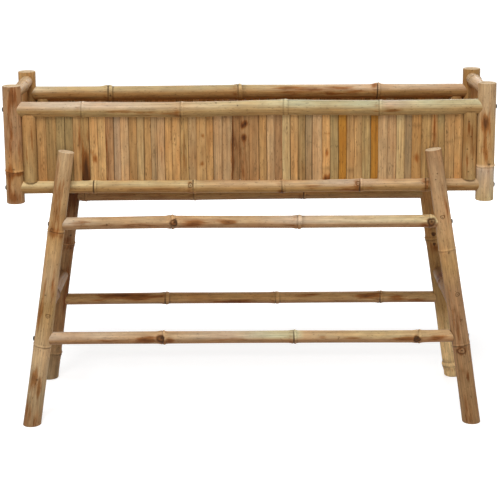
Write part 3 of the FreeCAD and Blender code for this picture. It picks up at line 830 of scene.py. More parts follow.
# %% Looks of the legs
LOOKS["leg_front_left"] = dict(
    joints=(0.312, 0.72),
    swell=0.55,
    ink=0.65,
    skin={0: "dun", 0.14: "grey", 0.3: "fawn", 0.45: "drab", 0.55: "fawn", 0.7: "tan", 1: "fawn"},
    scars=[(0.427, 20, 5, "eye"), (0.196, 0, 2.4, "dot"), (0.50, -15, 1.6, "dot"), (0.73, -25, 4, "ring")],
    stains=[
        (0.539, 30, 30, 5, 0.9), (0.43, -42, 30, 8, 1.1), (0.20, -15, 24, 10, 1.1), (0.08, -40, 60, 9, 0.8),
        (0.84, -30, 70, 9, 0.8), (0.16, 20, 24, 5, 0.8), (0.725, 5, 9, 14, 0.7), (0.50, -30, 50, 4, 0.6),
        (0.82, 15, 60, 5, 0.5), (0.05, 20, 30, 5, 0.6),
    ],
)
LOOKS["leg_front_right"] = dict(
    joints=(0.305, 0.645),
    swell=0.55,
    ink=0.65,
    skin={0.2: "dun", 0.35: "brown", 0.5: "brown", 0.6: "tan", 0.80: "fawn", 1: "brown"},
    scars=[
        (0.493, 18, 5, "eye"), (0.293, -6, 9, "eye"), (0.642, 2, 2.4, "dot"), (0.768, -6, 4.5, "eye"),
        (0.40, 16, 2.5, "ring"), (0.92, 0, 1.6, "dot"), (0.90, -18, 1.5, "dot"),
    ],
    stains=[
        (0.196, 10, 12, 4, 1.0), (0.22, -12, 12, 3, 0.6), (0.35, 0, 60, 9, 0.4), (0.06, -20, 40, 9, 0.5),
        (0.45, -30, 60, 5, 0.5), (0.82, 30, 60, 5, 0.5),
    ],
)
LOOKS["leg_back_left"] = dict(
    joints=(0.125, 0.56),
    swell=1.4,
    skin={0: "grey", 0.2: "dun", 0.5: "dun", 0.6: "brown", 0.72: "umber"},
    scars=[(0.60, 30, 2.5, "dot"), (0.55, 40, 2.5, "dot"), (0.20, -10, 3, "dot")],
    stains=[
        (0.42, 50, 90, 8, 0.9), (0.80, 0, 70, 26, 1.4), (0.58, 10, 12, 14, 0.8), (0.48, -20, 30, 8, 0.5),
    ],
)
LOOKS["leg_back_right"] = dict(
    joints=(0.065, 0.57),
    double=(0,),
    swell=1.7,
    # the pale skin low down is painted light, where the lamps leave this leg in shade
    skin={0.2: "painted_light_butter", 0.3: "drab", 0.42: "drab", 0.5: "nut", 0.62: "nut", 1: "russet"},
    scars=[(0.592, 2, 4.5, "knot"), (0.592, 34, 2.2, "dot"), (0.555, -5, 3, "knot")],
    stains=[(0.63, 10, 14, 12, 0.9), (0.54, 0, 12, 16, 0.8), (0.46, -20, 20, 8, 0.5)],
)
print("looks with the legs:", len(LOOKS))

# %% [markdown]
# The front stretchers are pale above and brown below, the browner underside painted as shade, with large
# knots beside their joints. The back pair is darker, the upper one with skins darkened as painted shade
# from the trough above, and long scorched streaks on the lower one.

# %% Looks of the stretchers and side bars
LOOKS["stretcher_front_upper"] = dict(
    joints=(0.295, 0.622, 0.963),
    double=(1,),
    swell=1.4,
    skin={0: "rosy", 0.12: "fawn", 0.5: "fawn", 0.62: "rosy", 0.7: "pale", 1: "straw"},
    belly=("brown", 0.25, 0.5),
    scars=[(0.304, -5, 7.5, "knot"), (0.967, -2, 8.5, "knot"), (0.13, 5, 2, "dot")],
    stains=[
        (0.06, -10, 26, 7, 0.7), (0.355, 4, 24, 8, 1.4), (0.445, -12, 18, 5, 1.1), (0.22, 20, 60, 5, 0.6),
        (0.95, 30, 10, 6, 0.8), (0.40, -25, 40, 4, 0.6), (0.13, 4, 14, 3, 0.9), (0.60, 20, 40, 4, 0.6),
    ],
)
LOOKS["stretcher_front_lower"] = dict(
    joints=(0.288, 0.602, 0.901),
    swell=1.4,
    skin={
        0: "rosy", 0.3: "fawn", 0.45: "rosy", 0.56: "green", 0.61: "green", 0.63: "fawn", 0.8: "straw",
        1: "fawn",
    },
    belly=("brown", 0.25, 0.5),
    scars=[(0.285, -6, 8, "knot"), (0.897, 4, 7, "knot"), (0.897, -45, 6, "lump"), (0.71, -10, 2, "ring")],
    stains=[
        (0.248, 12, 24, 8, 1.5), (0.872, 4, 24, 7, 1.2), (0.945, -6, 26, 6, 1.3), (0.74, -2, 30, 4, 0.7),
        (0.305, 20, 10, 7, 1.1), (0.67, -5, 10, 5, 0.7), (0.16, 8, 40, 4, 0.7), (0.46, 5, 40, 4, 0.7),
    ],
)
LOOKS["stretcher_back_upper"] = dict(
    joints=(0.035, 0.341, 0.650),
    # dark skins and a dark underside: painted shade from the trough above
    skin={0: "dun", 0.3: "nut", 0.7: "nut", 1: "drab"},
    belly=("dun", 0.1, 0.6),
    stains=[(0.2, 20, 120, 12, 0.4)],
)
LOOKS["stretcher_back_lower"] = dict(
    joints=(0.276, 0.564, 0.837),
    double=(0, 1),
    swell=1.3,
    skin={0: "honey", 0.3: "tan", 0.5: "tan", 0.6: "honey"},
    belly=("brown", 0.1, 0.6),
    stains=[
        (0.17, -48, 60, 8, 1.6), (0.21, -15, 40, 5, 0.9), (0.46, 28, 50, 6, 1.5), (0.80, -25, 36, 7, 1.2),
        (0.88, -15, 22, 8, 1.1), (0.10, 15, 40, 5, 0.6), (0.93, 20, 40, 5, 0.7), (0.66, -40, 60, 4, 0.8),
    ],
)
LOOKS["side_bar_left"] = dict(joints=(0.40,), sway=0.0, skin={0: "dun"})
LOOKS["side_bar_right"] = dict(joints=(0.62,), sway=0.0, skin={0: "dun"}, stains=[(0.70, 0, 24, 30, 1.2)])
print("looks in all:", len(LOOKS))

# %% [markdown]
# ## Poles of the trough
# Four posts stand at the corners. Long rails run between them at the front and back, shorter ones at
# the ends, and a round upright stands beside each post. Rails are coped to the posts and
# uprights to the rails, so the lips of each end lap round its neighbour as on the real bed.
# The sizes repeat the solid model's, in metres. Only uprights are drawn a little fuller, legs with a
# little more taper, and screw heads a little wider.

# %% Places of the trough's poles
POST_X, POST_Y, POST_R = 0.542, 0.122, 0.021
POST_LOW, BED_TOP = 0.527, 0.800
TOP_Z, TOP_R = 0.745, 0.0175
LOW_Z, LOW_R = 0.563, 0.015
END_R = 0.0145
END_Z = {"top": 0.777, "bottom": 0.5925}
UPRIGHT_X, UPRIGHT_R = 0.5049, 0.0161
UPRIGHT_LOW, UPRIGHT_HIGH = 0.5765, 0.7335
FIT = 0.0002
ALONG, UP = np.array([1.0, 0.0, 0.0]), np.array([0.0, 0.0, 1.0])
FRONT, BACK = np.array([0.0, -1.0, 0.0]), np.array([0.0, 1.0, 0.0])
SIDES = {"left": -1, "right": 1}
FACES = {"front": -1, "back": 1}
STRAW, BROWN = (straw_skin, "straw_bamboo"), (brown_skin, "brown_bamboo")


def cope(point, axis, radius, at_start, limit=None):
    """A cope round a neighbour that passes through a point, at a pole's start or end."""
    if limit is None:
        limit = -1.0 if at_start else 9.0  # past either end of any pole
    return ("cope", np.asarray(point, float), axis, radius + FIT, 1 if at_start else -1, limit)


def make_pole(node, start, end, radii, front, cuts, finish):
    """Build a culm, give it its layers and let it stand for its solid."""
    rows, tips, layers = culm(node, start, end, radii, front, cuts, LOOKS[node])
    mesh = tube(node + "_culm", rows, *tips)
    hang_layers(mesh, *layers)
    return finish_piece(node + "_culm", mesh, *finish, node, CULM_CREASE)


poles = []
for face, out in FACES.items():
    y = out * POST_Y
    for side, way in SIDES.items():
        cuts = (("square", 0.0), ("square", BED_TOP - POST_LOW))
        low, high = (way * POST_X, y, POST_LOW), (way * POST_X, y, BED_TOP)
        poles.append(make_pole(f"post_{face}_{side}", low, high, (POST_R, POST_R), FRONT, cuts, BROWN))
        low, high = (way * UPRIGHT_X, y, LOW_Z), (way * UPRIGHT_X, y, TOP_Z)
        cuts = (
            cope(low, ALONG, LOW_R, True, UPRIGHT_LOW - LOW_Z),
            cope(high, ALONG, TOP_R, False, UPRIGHT_HIGH - LOW_Z),
        )
        node = f"upright_{face}_{side}"
        poles.append(make_pole(node, low, high, (UPRIGHT_R, UPRIGHT_R), FRONT, cuts, STRAW))
    for level, z, radius in (("top", TOP_Z, TOP_R), ("bottom", LOW_Z, LOW_R)):
        left, right = (-POST_X, y, z), (POST_X, y, z)
        cuts = (cope(left, UP, POST_R, True), cope(right, UP, POST_R, False))
        poles.append(make_pole(f"rail_{face}_{level}", left, right, (radius, radius), FRONT, cuts, STRAW))
for side, way in SIDES.items():
    for level, z in END_Z.items():
        near, far = (way * POST_X, -POST_Y, z), (way * POST_X, POST_Y, z)
        cuts = (cope(near, UP, POST_R, True), cope(far, UP, POST_R, False))
        poles.append(make_pole(f"rail_{side}_{level}", near, far, (END_R, END_R), UP, cuts, STRAW))
print("poles of the trough:", len(poles))

# %% [markdown]
# ## Bearers under the floor
# Seven thin culms cross the trough under its floor. They are planed flat on top, so the floor slats
# lie on them. A plane could be cut from each, but it is enough to hold the points of the same culm
# formula down to the level of the top.

# %% Floor bearers
BEARERS, BEARER_R, BEARER_TOP, BEARER_FAR = 7, 0.012, 0.5735, 0.4715
MIDDLE_BEARER = (BEARERS + 1) / 2
BEARER_SKINS = ("straw", "honey", "tan")
for number in range(1, BEARERS + 1):
    x = (number - MIDDLE_BEARER) / (BEARERS - MIDDLE_BEARER) * BEARER_FAR
    node = f"bearer_{number}"
    LOOKS[node] = dict(
        joints=(0.3 + 0.06 * number,),
        swell=0.5,
        skin={0: BEARER_SKINS[number % 3], 1: BEARER_SKINS[(number + 1) % 3]},
        planed=BEARER_TOP,
    )
    near, far = (x, -POST_Y, LOW_Z), (x, POST_Y, LOW_Z)
    cuts = (cope(near, ALONG, LOW_R, True), cope(far, ALONG, LOW_R, False))
    poles.append(make_pole(node, near, far, (BEARER_R, BEARER_R), UP, cuts, STRAW))
print("poles so far:", len(poles))

# %% [markdown]
# ## Legs, stretchers and side bars
# Each leg leans in from its foot to the rail that it is bolted to, where it has a shallow notch.
# Its foot is cut level to stand flat, and its top square. Stretchers join the legs along the bed
# and side bars across it, each coped to a leg that leans, which the quadratic also allows for.

# %% Leg frames
FOOT_X, FOOT_Y = 0.5185, 0.16529
LEG_TOP, LEAN_X, LEAN_Y = 0.652, 0.1005, 0.014
LEG_R = (0.0214, 0.0187)
LEG_OVERRUN = 0.015  # a leg's axis starts this far below its foot, which is cut level
STRETCHER_R, BAR_R = 0.0145, 0.015
STRETCHER_Z = {"upper": 0.4835, "lower": 0.2105}
BAR_Z = 0.279


def leg_point(way, out, z):
    """A point of a leg's axis at a height."""
    return np.array([way * (FOOT_X - LEAN_X / LEG_TOP * z), out * (FOOT_Y - LEAN_Y / LEG_TOP * z), z])


def leg_radius(z):
    """A leg's radius at a height."""
    return LEG_R[0] + (LEG_R[1] - LEG_R[0]) * (z + LEG_OVERRUN) / (LEG_TOP + LEG_OVERRUN)


def leg_cope(way, out, z, at_start):
    """A cope round a leg at a height."""
    rise = leg_point(way, out, LEG_TOP) - leg_point(way, out, 0)
    return cope(leg_point(way, out, z), rise / np.linalg.norm(rise), leg_radius(z), at_start)


for face, out in FACES.items():
    for side, way in SIDES.items():
        node = f"leg_{face}_{side}"
        low, high = leg_point(way, out, -LEG_OVERRUN), leg_point(way, out, LEG_TOP)
        LOOKS[node]["notch"] = (np.array([0, out * POST_Y, LOW_Z]), ALONG, LOW_R + FIT)
        cuts = (("level", 0.0), ("square", np.linalg.norm(high - low)))
        poles.append(make_pole(node, low, high, LEG_R, FRONT, cuts, BROWN))
    for level, z in STRETCHER_Z.items():
        node = f"stretcher_{face}_{level}"
        left, right = leg_point(-1, out, z), leg_point(1, out, z)
        cuts = (leg_cope(-1, out, z, True), leg_cope(1, out, z, False))
        poles.append(make_pole(node, left, right, (STRETCHER_R, STRETCHER_R), FRONT, cuts, STRAW))
for side, way in SIDES.items():
    near, far = leg_point(way, -1, BAR_Z), leg_point(way, 1, BAR_Z)
    cuts = (leg_cope(way, -1, BAR_Z, True), leg_cope(way, 1, BAR_Z, False))
    poles.append(make_pole(f"side_bar_{side}", near, far, (BAR_R, BAR_R), UP, cuts, STRAW))
print("poles in all:", len(poles), "points:", sum(len(piece.data.vertices) for piece in poles))

# %% [markdown]
# ## Walls and floor of split slats
# A slat is a strip split from a thick culm: flat inside and slightly rounded outside. No two are
# quite as wide or of one colour, and some keep a joint, a knot or a scorched patch.
# A row of slats is one array with three indices: slat, height and place round the section. That
# makes the whole wall at once, and each slat draws its own skin from the table.

# %% Shapes of slats
SLAT_THICK, SLAT_CROWN, EDGE_DROP = 0.006, 0.001, 0.0006
SECTION = np.array([-1, -0.93, -0.70, -0.36, 0, 0.36, 0.70, 0.93, 1, 1, 0.35, -0.35, -1])
OUTSIDE = np.arange(len(SECTION)) < 9  # the first nine points of a section lie outside
RISE = np.linspace(0, 1, 41)  # shares of a slat's length
SLAT_GAP = 0.00008
WIDTH_VARIES, SIDE_WAVE, PROUD = 0.14, 0.0004, 0.0004  # a share, and metres sideways and outwards
SLAT_JOINTS, SLAT_SWELLING, SLAT_SWELLING_HALF = 0.12, 0.0008, 0.007
SLAT_INK, SLAT_INK_HALF = 0.30, 0.0045
# seams: painted shade at the outer edges of the slats, where neighbours meet
SEAM_SHADES, SEAM_SHADE_SHARES = (0.10, 0.48, 1.0), (0.30, 0.40, 0.30)  # how dark seams are, and how many


def slat_shapes(rng, count, field, tall):
    """Edges of slats, places of points across and outward, and the lines of joints and the painted shade of
    the seams between slats.

    A slat's outside stands at half its thickness less crown x a squared, where a runs from -1 to 1
    across it, and drops a little more at its edges. Widths vary by about a seventh, sides wave a
    little, some slats stand proud, and about one in eight has a joint, which is a bell curve.
    """
    widths = 1 + WIDTH_VARIES * np.clip(rng.standard_normal(count), -1.7, 1.7)
    edges = np.concatenate([[0], np.cumsum(widths)]) / widths.sum() * field
    turns, starts = rng.uniform(0.5, 1.3, (count + 1, 1)), rng.uniform(0, 2 * np.pi, (count + 1, 1))
    sides = edges[:, None] + SIDE_WAVE * np.sin(2 * np.pi * RISE * turns + starts)
    sides[[0, -1]] = edges[[0, -1], None]
    middle, half = (sides[1:] + sides[:-1]) / 2, (sides[1:] - sides[:-1]) / 2 - SLAT_GAP
    across = middle[..., None] + half[..., None] * SECTION
    lift = SLAT_THICK / 2 - SLAT_CROWN * SECTION**2 - np.where(np.abs(SECTION) == 1, EDGE_DROP, 0)
    proud = PROUD * np.clip(rng.standard_normal((count, 1, 1)), -1.5, 1.5)
    outward = np.where(OUTSIDE, lift, -SLAT_THICK / 2) + OUTSIDE * proud * np.ones((1, len(RISE), 1))

    has_joint = rng.random((count, 1, 1)) < SLAT_JOINTS
    gap = (RISE[None, :, None] - rng.uniform(0.15, 0.85, (count, 1, 1))) * tall
    outward = outward + OUTSIDE * has_joint * SLAT_SWELLING * bell(gap, SLAT_SWELLING_HALF)
    line = SLAT_INK * has_joint * bell(gap, SLAT_INK_HALF) * np.ones(len(SECTION))
    # the outer edges of each slat are darkened: painted shade in the seam between neighbours
    seam_shade = rng.choice(SEAM_SHADES, count + 1, p=SEAM_SHADE_SHARES)
    seam_shade = np.where(SECTION < 0, seam_shade[:-1, None], seam_shade[1:, None])
    seam_shade = seam_shade * OUTSIDE * np.interp(np.abs(SECTION), (0.9, 1), (0, 1))
    return edges, across, outward, np.maximum(line, seam_shade[:, None, :])


print("points round a slat:", len(SECTION))

# %% [markdown]
# Most slats draw their skin by chance. Slats that stand out in the photograph are placed one by one, each
# at a share of the wall's length, with burns as (share of height, place across from -1 to 1, half
# length in millimetres, half width, strength). Split fibre is a little darker and warmer than skin.

# %% Skins of slats
SLAT_SKINS = {
    "tan": 0.30, "straw": 0.10, "honey": 0.20, "rosy": 0.10, "olive": 0.10, "grey": 0.07, "brown": 0.09,
    "green": 0.03, "amber": 0.01,
}
SLAT_TONE, SLAT_TONE_VARIES = np.array([0.96, 0.90, 0.83]), 0.09
# the inside face of every slat is paler: partly the paler flesh of split bamboo, partly painted light on
# inner faces that lie in shade under the rails
INSIDE_FLESH_AND_PAINTED_LIGHT = 1.35
SLAT_BLEND, PLACED_BLEND = 0.55, 0.85  # how far a colour goes from the common tan to its own skin
SLAT_SCORCH = 0.12


def slat_skins(rng, count, placed):
    """A colour for each slat: its skin blended with the common tan, times its own lightness."""
    picks = rng.choice(len(SLAT_SKINS), count, p=list(SLAT_SKINS.values()))
    names = [list(SLAT_SKINS)[pick] for pick in picks]
    own = np.full((count, 1), SLAT_BLEND)
    for k, (skin, _) in placed.items():
        names[k], own[k] = skin, PLACED_BLEND
    colours = own * np.array([SKIN_LIGHT[name] for name in names]) + (1 - own) * SKIN_LIGHT["tan"]
    return colours * SLAT_TONE * (1 + SLAT_TONE_VARIES * np.clip(rng.standard_normal((count, 1)), -2, 2))


def slat_row(name, count, corner, axes, field, tall, marked):
    """Points and layers of a row of slats that fills a field from a corner.

    Point = corner + place across x row + place outward x out + share of height x tall x grow.
    """
    row, out, grow = axes
    rng = chance(name)
    edges, across, outward, line = slat_shapes(rng, count, field, tall)
    placed = {int(np.searchsorted(edges, share * field)) - 1: mark for share, mark in marked.items()}
    # inside faces made paler: split flesh, and painted light
    skin = slat_skins(rng, count, placed)[:, None, None, :] * np.where(OUTSIDE, 1, INSIDE_FLESH_AND_PAINTED_LIGHT)[:, None]
    skin = skin * np.ones((1, len(RISE), 1, 1))
    scorch = SLAT_SCORCH * rng.random((count, 1, 1)) * np.ones_like(outward)
    for k, (_, burns) in placed.items():
        for centre, place, long, wide, strength in burns:
            near = ((RISE - centre) * tall / (long * MM))[:, None] ** 2
            scorch[k] += strength * np.exp(-(near + ((SECTION - place) / wide) ** 2))
    height = RISE[None, :, None] * tall
    points = np.asarray(corner, float) + across[..., None] * row + outward[..., None] * out
    points = points + height[..., None] * grow
    marks = np.stack([np.clip(scorch, 0, 2), line, np.zeros_like(outward)], -1)
    shift = rng.uniform(-GRAIN_FAR, GRAIN_FAR, (count, 1, 1, 3))
    grain = np.stack([across, outward, height * np.ones_like(across)], -1) + shift
    return points, (skin, marks, grain)


print("slat skins:", len(SLAT_SKINS))

# %% [markdown]
# The section runs round a slat in one turning sense, so the faces point outwards when the row, the
# outside and the length form one hand of axes, and are flipped when they form the other.


# %% From slats to pieces
def slats_mesh(name, points, flip):
    """A mesh of slats: each is a tube of rows with a flat face at both ends."""
    count, high, around = points.shape[:3]
    index = np.arange(points[..., 0].size).reshape(count, high, around)
    after = np.roll(index, -1, axis=2)
    sides = np.stack([index[:, :-1], after[:, :-1], after[:, 1:], index[:, 1:]], -1).reshape(-1, 4)
    faces = sides.tolist() + index[:, 0, ::-1].tolist() + index[:, -1].tolist()
    if flip:
        faces = [face[::-1] for face in faces]
    mesh = bpy.data.meshes.new(name)
    mesh.from_pydata(points.reshape(-1, 3).tolist(), [], faces)
    return mesh


def make_slats(node, count, corner, axes, field, tall, marked):
    """Build one row of slats and let it stand for its solid."""
    points, layers = slat_row(node, count, corner, axes, field, tall, marked)
    row, out, grow = axes
    mesh = slats_mesh(node + "_split", points, np.cross(row, out) @ grow > 0)
    hang_layers(mesh, *(values.reshape(-1, 3) for values in layers))
    return finish_piece(node + "_split", mesh, split_skin, "split_bamboo", node, EDGE_CREASE)


print("rows of points up a slat:", len(RISE))

# %% [markdown]
# Five rows make the trough: two long walls, the floor and two ends. Only the front wall has slats
# that are listed. They could be set one by one, but grouped by skin they read like a colour card.

# %% Walls and floor
FRONT_SKINS = {
    "tan": (0.010, 0.522, 0.676, 0.930, 0.992),
    "drab": (0.032, 0.114, 0.345, 0.915),
    "olive": (0.058, 0.076, 0.693, 0.770, 0.951),
    "honey": (0.095, 0.134, 0.155, 0.397, 0.610, 0.733, 0.751, 0.972),
    "brown": (0.175, 0.562),
    "fawn": (0.205, 0.300, 0.420, 0.440, 0.545, 0.664, 0.815, 0.835),
    "grey": (0.275, 0.632, 0.880),
    "dun": (0.462, 0.481, 0.500),
    "straw": (0.589, 0.857),
    "amber": (0.711, 0.790),
    "nut": (0.900,),
}
FRONT_BURNS = {
    0.095: [(0.5, 0.7, 60, 0.4, 0.5)],
    0.114: [(0.06, 0, 30, 1.3, 2.5), (0.34, -0.2, 26, 0.8, 1.3), (0.66, 0.4, 16, 0.9, 0.5)],
    0.134: [(0.36, 0.2, 10, 0.6, 1.2), (0.46, -0.5, 8, 0.5, 0.8)],
    0.175: [(0.5, -0.8, 80, 0.3, 0.6)],
    0.300: [(0.40, -0.2, 20, 0.3, 0.7)],
    0.345: [(0.45, 0, 40, 0.5, 0.5)],
    0.397: [(0.68, 0.2, 5, 0.4, 1.0), (0.28, 0.1, 5, 0.4, 1.0)],
    0.440: [(0.35, 0.9, 80, 0.2, 0.6)],
    0.462: [(0.5, -0.9, 110, 0.3, 1.4), (0.5, 0.2, 90, 1.2, 0.2)],
    0.481: [
        (0.85, 0.2, 6, 0.5, 2.4), (0.81, -0.3, 5, 0.4, 2.0), (0.65, -0.1, 7, 0.5, 2.4),
        (0.35, -0.3, 40, 0.8, 0.45),
    ],
    0.676: [(0.05, 0.2, 9, 0.9, 2.0), (0.42, 0.2, 8, 0.5, 0.9), (0.69, 0, 2, 0.9, 0.9)],
    0.733: [(0.6, -0.9, 70, 0.3, 0.5)],
    0.900: [(0.35, 0, 9, 0.5, 0.8)],
    0.930: [(0.78, 0.0, 40, 0.25, 1.6)],
}
front_marks = {
    share: (skin, FRONT_BURNS.get(share, ())) for skin, shares in FRONT_SKINS.items() for share in shares
}
LONG_SLATS, LONG_FIELD, LONG_LOW, LONG_TALL = 52, 0.4885, 0.570, 0.1645
END_SLATS, END_FIELD, END_LOW, END_TALL = 11, 0.0998, 0.599, 0.1705
FLOOR_SLATS, FLOOR_FIELD, FLOOR_FAR, FLOOR_Z = 11, 0.0988, 0.5235, 0.5765
walls = []
for face, y, outside, marked in (("front", -POST_Y, FRONT, front_marks), ("back", POST_Y, BACK, {})):
    corner, axes = (-LONG_FIELD, y, LONG_LOW), (ALONG, outside, UP)
    walls.append(make_slats(f"slats_{face}", LONG_SLATS, corner, axes, 2 * LONG_FIELD, LONG_TALL, marked))
corner, axes = (-FLOOR_FAR, -FLOOR_FIELD, FLOOR_Z), (BACK, UP, ALONG)
walls.append(make_slats("floor_slats", FLOOR_SLATS, corner, axes, 2 * FLOOR_FIELD, 2 * FLOOR_FAR, {}))
for side, way in SIDES.items():
    corner, axes = (way * POST_X, -END_FIELD, END_LOW), (BACK, way * ALONG, UP)
    walls.append(make_slats(f"slats_{side}", END_SLATS, corner, axes, 2 * END_FIELD, END_TALL, {}))
print("rows of slats:", len(walls), "points:", sum(len(piece.data.vertices) for piece in walls))

# %% [markdown]
# ## Screws
# A cross-head screw holds each rail to its post and each stretcher to its leg. Its domed head shows
# on the outside, partly sunk in the bamboo. The head is a profile turned about the screw's axis,
# and the cross is a dip in the dome wherever a point lies near one of two lines.

# %% Screw heads
HEAD_R, HEAD_TALL, SHANK_R = 0.0055, 0.0040, 0.0025
DOME_WIDE, DOME_DROP, HEAD_SIDE = 0.88, 0.0012, 0.0022  # a share of the head, and metres below its top
POINT_R, POINT_LONG = 0.0008, 0.004
CROSS_LONG, CROSS_HALF, CROSS_DEEP = 0.62, 0.00055, 0.0013  # a share of the head, and metres
SCREW_SEAT, SCREW_BITE = 0.0012, 0.022
DOME_RINGS, SCREW_AROUND = 14, 48


def screw(seat, way, length, spin):
    """Points of one screw along the X axis: rings of a turned profile, the cross pressed in.

    The profile is (radius, height): a dome of the head, its side, and the shank to a point.
    """
    parts = np.linspace(0.06, 1, DOME_RINGS)
    dome = [(HEAD_R * DOME_WIDE * part, HEAD_TALL - DOME_DROP * part**2) for part in parts]
    side = [(HEAD_R, HEAD_TALL - HEAD_SIDE), (HEAD_R, 0.0), (SHANK_R, 0.0)]
    shank = [(SHANK_R, POINT_LONG - length), (POINT_R, -length)]
    profile = np.array(dome + side + shank)[::-1]
    radius, height = profile[:, :1], profile[:, 1:]
    theta = np.linspace(0, 2 * np.pi, SCREW_AROUND, endpoint=False)
    y, z = radius * np.cos(theta), radius * np.sin(theta)
    u, v = y * math.cos(spin) + z * math.sin(spin), z * math.cos(spin) - y * math.sin(spin)
    near = np.minimum(np.abs(u), np.abs(v)) < CROSS_HALF
    pressed = (height > HEAD_TALL - CROSS_DEEP) & (radius < CROSS_LONG * HEAD_R) & near
    x = height - np.where(pressed, CROSS_DEEP, 0.0)
    rows = np.stack([way * x, way * y, z], -1) + seat
    tips = np.array([[-way * length, 0, 0], [way * (HEAD_TALL - CROSS_DEEP), 0, 0]]) + seat
    return rows, tips


def screws_mesh(name, seats, rng):
    """One mesh of loose screws, each given as its seat, the way its head looks and its length."""
    points, faces = [], []
    for seat, way, length in seats:
        rows, tips = screw(np.asarray(seat, float), way, length, rng.uniform(0, np.pi / 2))
        one = tube("screw", rows, *tips)
        base = sum(len(part) for part in points)
        points.append(np.concatenate([rows.reshape(-1, 3), tips]))
        faces += [[base + corner for corner in polygon.vertices] for polygon in one.polygons]
        bpy.data.meshes.remove(one)
    mesh = bpy.data.meshes.new(name)
    mesh.from_pydata(np.concatenate(points).tolist(), [], faces)
    return mesh


post_seats, leg_seats = [], []
for face, out in FACES.items():
    for side, way in SIDES.items():
        for z in (TOP_Z, LOW_Z):
            seat = (way * (POST_X + POST_R - SCREW_SEAT), out * POST_Y, z)
            post_seats.append((seat, way, 2 * POST_R - SCREW_SEAT + SCREW_BITE))
        for z in STRETCHER_Z.values():
            seat = leg_point(way, out, z) + (way * (leg_radius(z) - SCREW_SEAT), 0, 0)
            leg_seats.append((seat, way, 2 * leg_radius(z) - SCREW_SEAT + SCREW_BITE))
turns = np.random.default_rng(8)
for node, seats in (("post_screws", post_seats), ("leg_screws", leg_seats)):
    mesh = screws_mesh(node + "_heads", seats, turns)
    finish_piece(node + "_heads", mesh, dark_steel, "dark_screw", node, EDGE_CREASE)
print("screws:", len(post_seats) + len(leg_seats))

# %% [markdown]
# ## Pieces that keep their solid shape
# Bolts under the floor, dowels and pegs are right as they are: plain turned rods, nearly all
# hidden. They keep their solids and only change their finish.

# %% Finishes of bolts, dowels and pegs
WOODEN = ("end_rail_dowels", "side_bar_dowels", "upright_pegs", "bearer_pegs")
kept = {"leg_bolts": dark_steel, **{node: dowel_wood for node in WOODEN}}
for node, material in kept.items():
    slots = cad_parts[node].data.materials
    slots.clear()
    slots.append(material)
print("solids kept:", len(kept))

# %% [markdown]
# ## Floor and light
# The bed stands on a pale floor in a white room. The floor and the room look white to the camera,
# and to mirrors and glass, without lighting the bed, so no extra light falls on it, and the floor
# still takes its shadow. The floor glows less near the bed, so that the shadow there stays dark.

# %% Floor
FLOOR_R, FLOOR_SIDES, FLOOR_GREY = 30.0, 96, 0.66
GLOW_NEAR, GLOW_FAR, LEAST_GLOW = 0.7, 2.6, 0.59  # metres from the middle, and a strength


def seen_directly(tree):
    """1 for rays from the camera, a mirror or glass, and 0 for light on its way to a surface."""
    path = tree.nodes.new("ShaderNodeLightPath").outputs
    seen = reckon(tree, "MAXIMUM", path["Is Camera Ray"], path["Is Glossy Ray"])
    return reckon(tree, "MAXIMUM", seen, path["Is Transmission Ray"])


angle = np.linspace(0, 2 * np.pi, FLOOR_SIDES, endpoint=False)
rim = np.stack([FLOOR_R * np.cos(angle), FLOOR_R * np.sin(angle), np.zeros(FLOOR_SIDES)], -1)
mesh = bpy.data.meshes.new("pale_floor")
mesh.from_pydata(rim.tolist(), [], [list(range(FLOOR_SIDES))])
floor = bpy.data.objects.new("pale_floor", mesh)
bpy.context.scene.collection.objects.link(floor)
paint, tree, shader = new_finish("pale_floor_paint")
shader.inputs["Base Color"].default_value = (FLOOR_GREY, FLOOR_GREY, FLOOR_GREY, 1)
shader.inputs["Roughness"].default_value = 0.9
shader.inputs["Specular IOR Level"].default_value = 0.0
shader.inputs["Emission Color"].default_value = (1, 1, 1, 1)
place = tree.nodes.new("ShaderNodeTexCoord").outputs["Object"]
away = add(tree, "ShaderNodeVectorMath", {0: place}, operation="LENGTH").outputs["Value"]
glow = remap(tree, away, GLOW_NEAR, GLOW_FAR, LEAST_GLOW, 1.0)
tree.links.new(reckon(tree, "MULTIPLY", seen_directly(tree), glow), shader.inputs["Emission Strength"])
mesh.materials.append(paint)
print("floor radius:", FLOOR_R, "m")

# %% [markdown]
# Five soft lamps light the bed, and the room adds a little from all round. A strong one in front and
# above does most of the work, a second one lower down opens the shadows, a third stands behind, and
# one stands at each end, so that the bed looks right from every side.

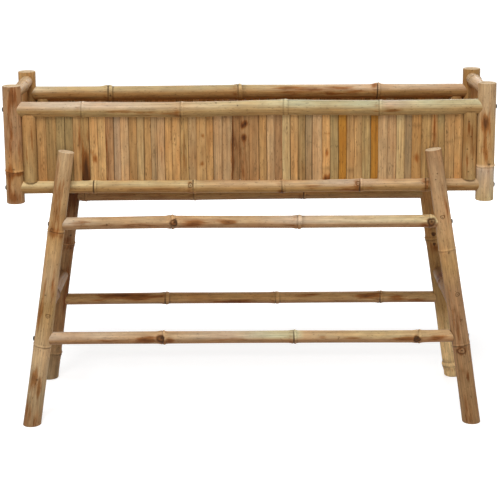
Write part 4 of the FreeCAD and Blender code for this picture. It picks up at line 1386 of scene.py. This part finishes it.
# %% Light
ROOM_LIGHT = 0.22
BED_MIDDLE = (0, 0, 0.5)
LAMPS = {  # place, width in metres, watts
    "key_lamp": ((-0.4, -2.2, 3.8), 1.6, 135),
    "fill_lamp": ((0.5, -4.2, 0.9), 2.0, 36),
    "back_lamp": ((0.8, 3.6, 2.2), 2.0, 58),
    "left_lamp": ((-3.6, 0.5, 1.3), 2.0, 21),
    "right_lamp": ((3.6, 0.5, 1.3), 2.0, 21),
}
room = bpy.data.worlds.new("white_room")
bpy.context.scene.world = room
room.use_nodes = True
tree = room.node_tree
background = tree.nodes["Background"]
background.inputs["Color"].default_value = (1, 1, 1, 1)
tree.links.new(remap(tree, seen_directly(tree), 0, 1, ROOM_LIGHT, 1.0), background.inputs["Strength"])


def soft_lamp(name, place, target, size, power):
    """A square lamp that faces a point."""
    lamp = bpy.data.lights.new(name, "AREA")
    lamp.shape, lamp.size, lamp.energy = "SQUARE", size, power
    holder = bpy.data.objects.new(name, lamp)
    holder.location = place
    heading = np.asarray(target, float) - np.asarray(place, float)
    across = math.hypot(heading[0], heading[1])
    holder.rotation_euler = (math.atan2(across, -heading[2]), 0, math.atan2(-heading[0], heading[1]))
    bpy.context.scene.collection.objects.link(holder)


for name, (place, size, power) in LAMPS.items():
    soft_lamp(name, place, BED_MIDDLE, size, power)
print("lamps:", len(LAMPS), "room light:", ROOM_LIGHT)

# %% [markdown]
# ## Camera
# The photograph was taken from in front and a little above, with the lens slid down so that the
# posts stay upright. A small slide and a small tilt share that work here, and the camera rolls
# a hair, because the right end of the bed stands a little higher in the picture.

# %% Camera
CAMERA_BACK, CAMERA_HIGH = 3.4877, 1.2856
TILT, ROLL = 12.28, 0.39
LENS, SENSOR, SLIDE = 107.28, 36.0, -0.12
camera = bpy.data.cameras.new("front_camera")
camera.lens, camera.sensor_width, camera.shift_y = LENS, SENSOR, SLIDE
holder = bpy.data.objects.new("front_camera", camera)
holder.location = (0, -CAMERA_BACK, CAMERA_HIGH)
holder.rotation_mode = "ZYX"
holder.rotation_euler = (math.radians(90 - TILT), 0, math.radians(-ROLL))
bpy.context.scene.collection.objects.link(holder)
bpy.context.scene.camera = holder
bpy.context.scene.view_settings.view_transform = "Standard"
print("camera:", [round(v, 3) for v in holder.location])
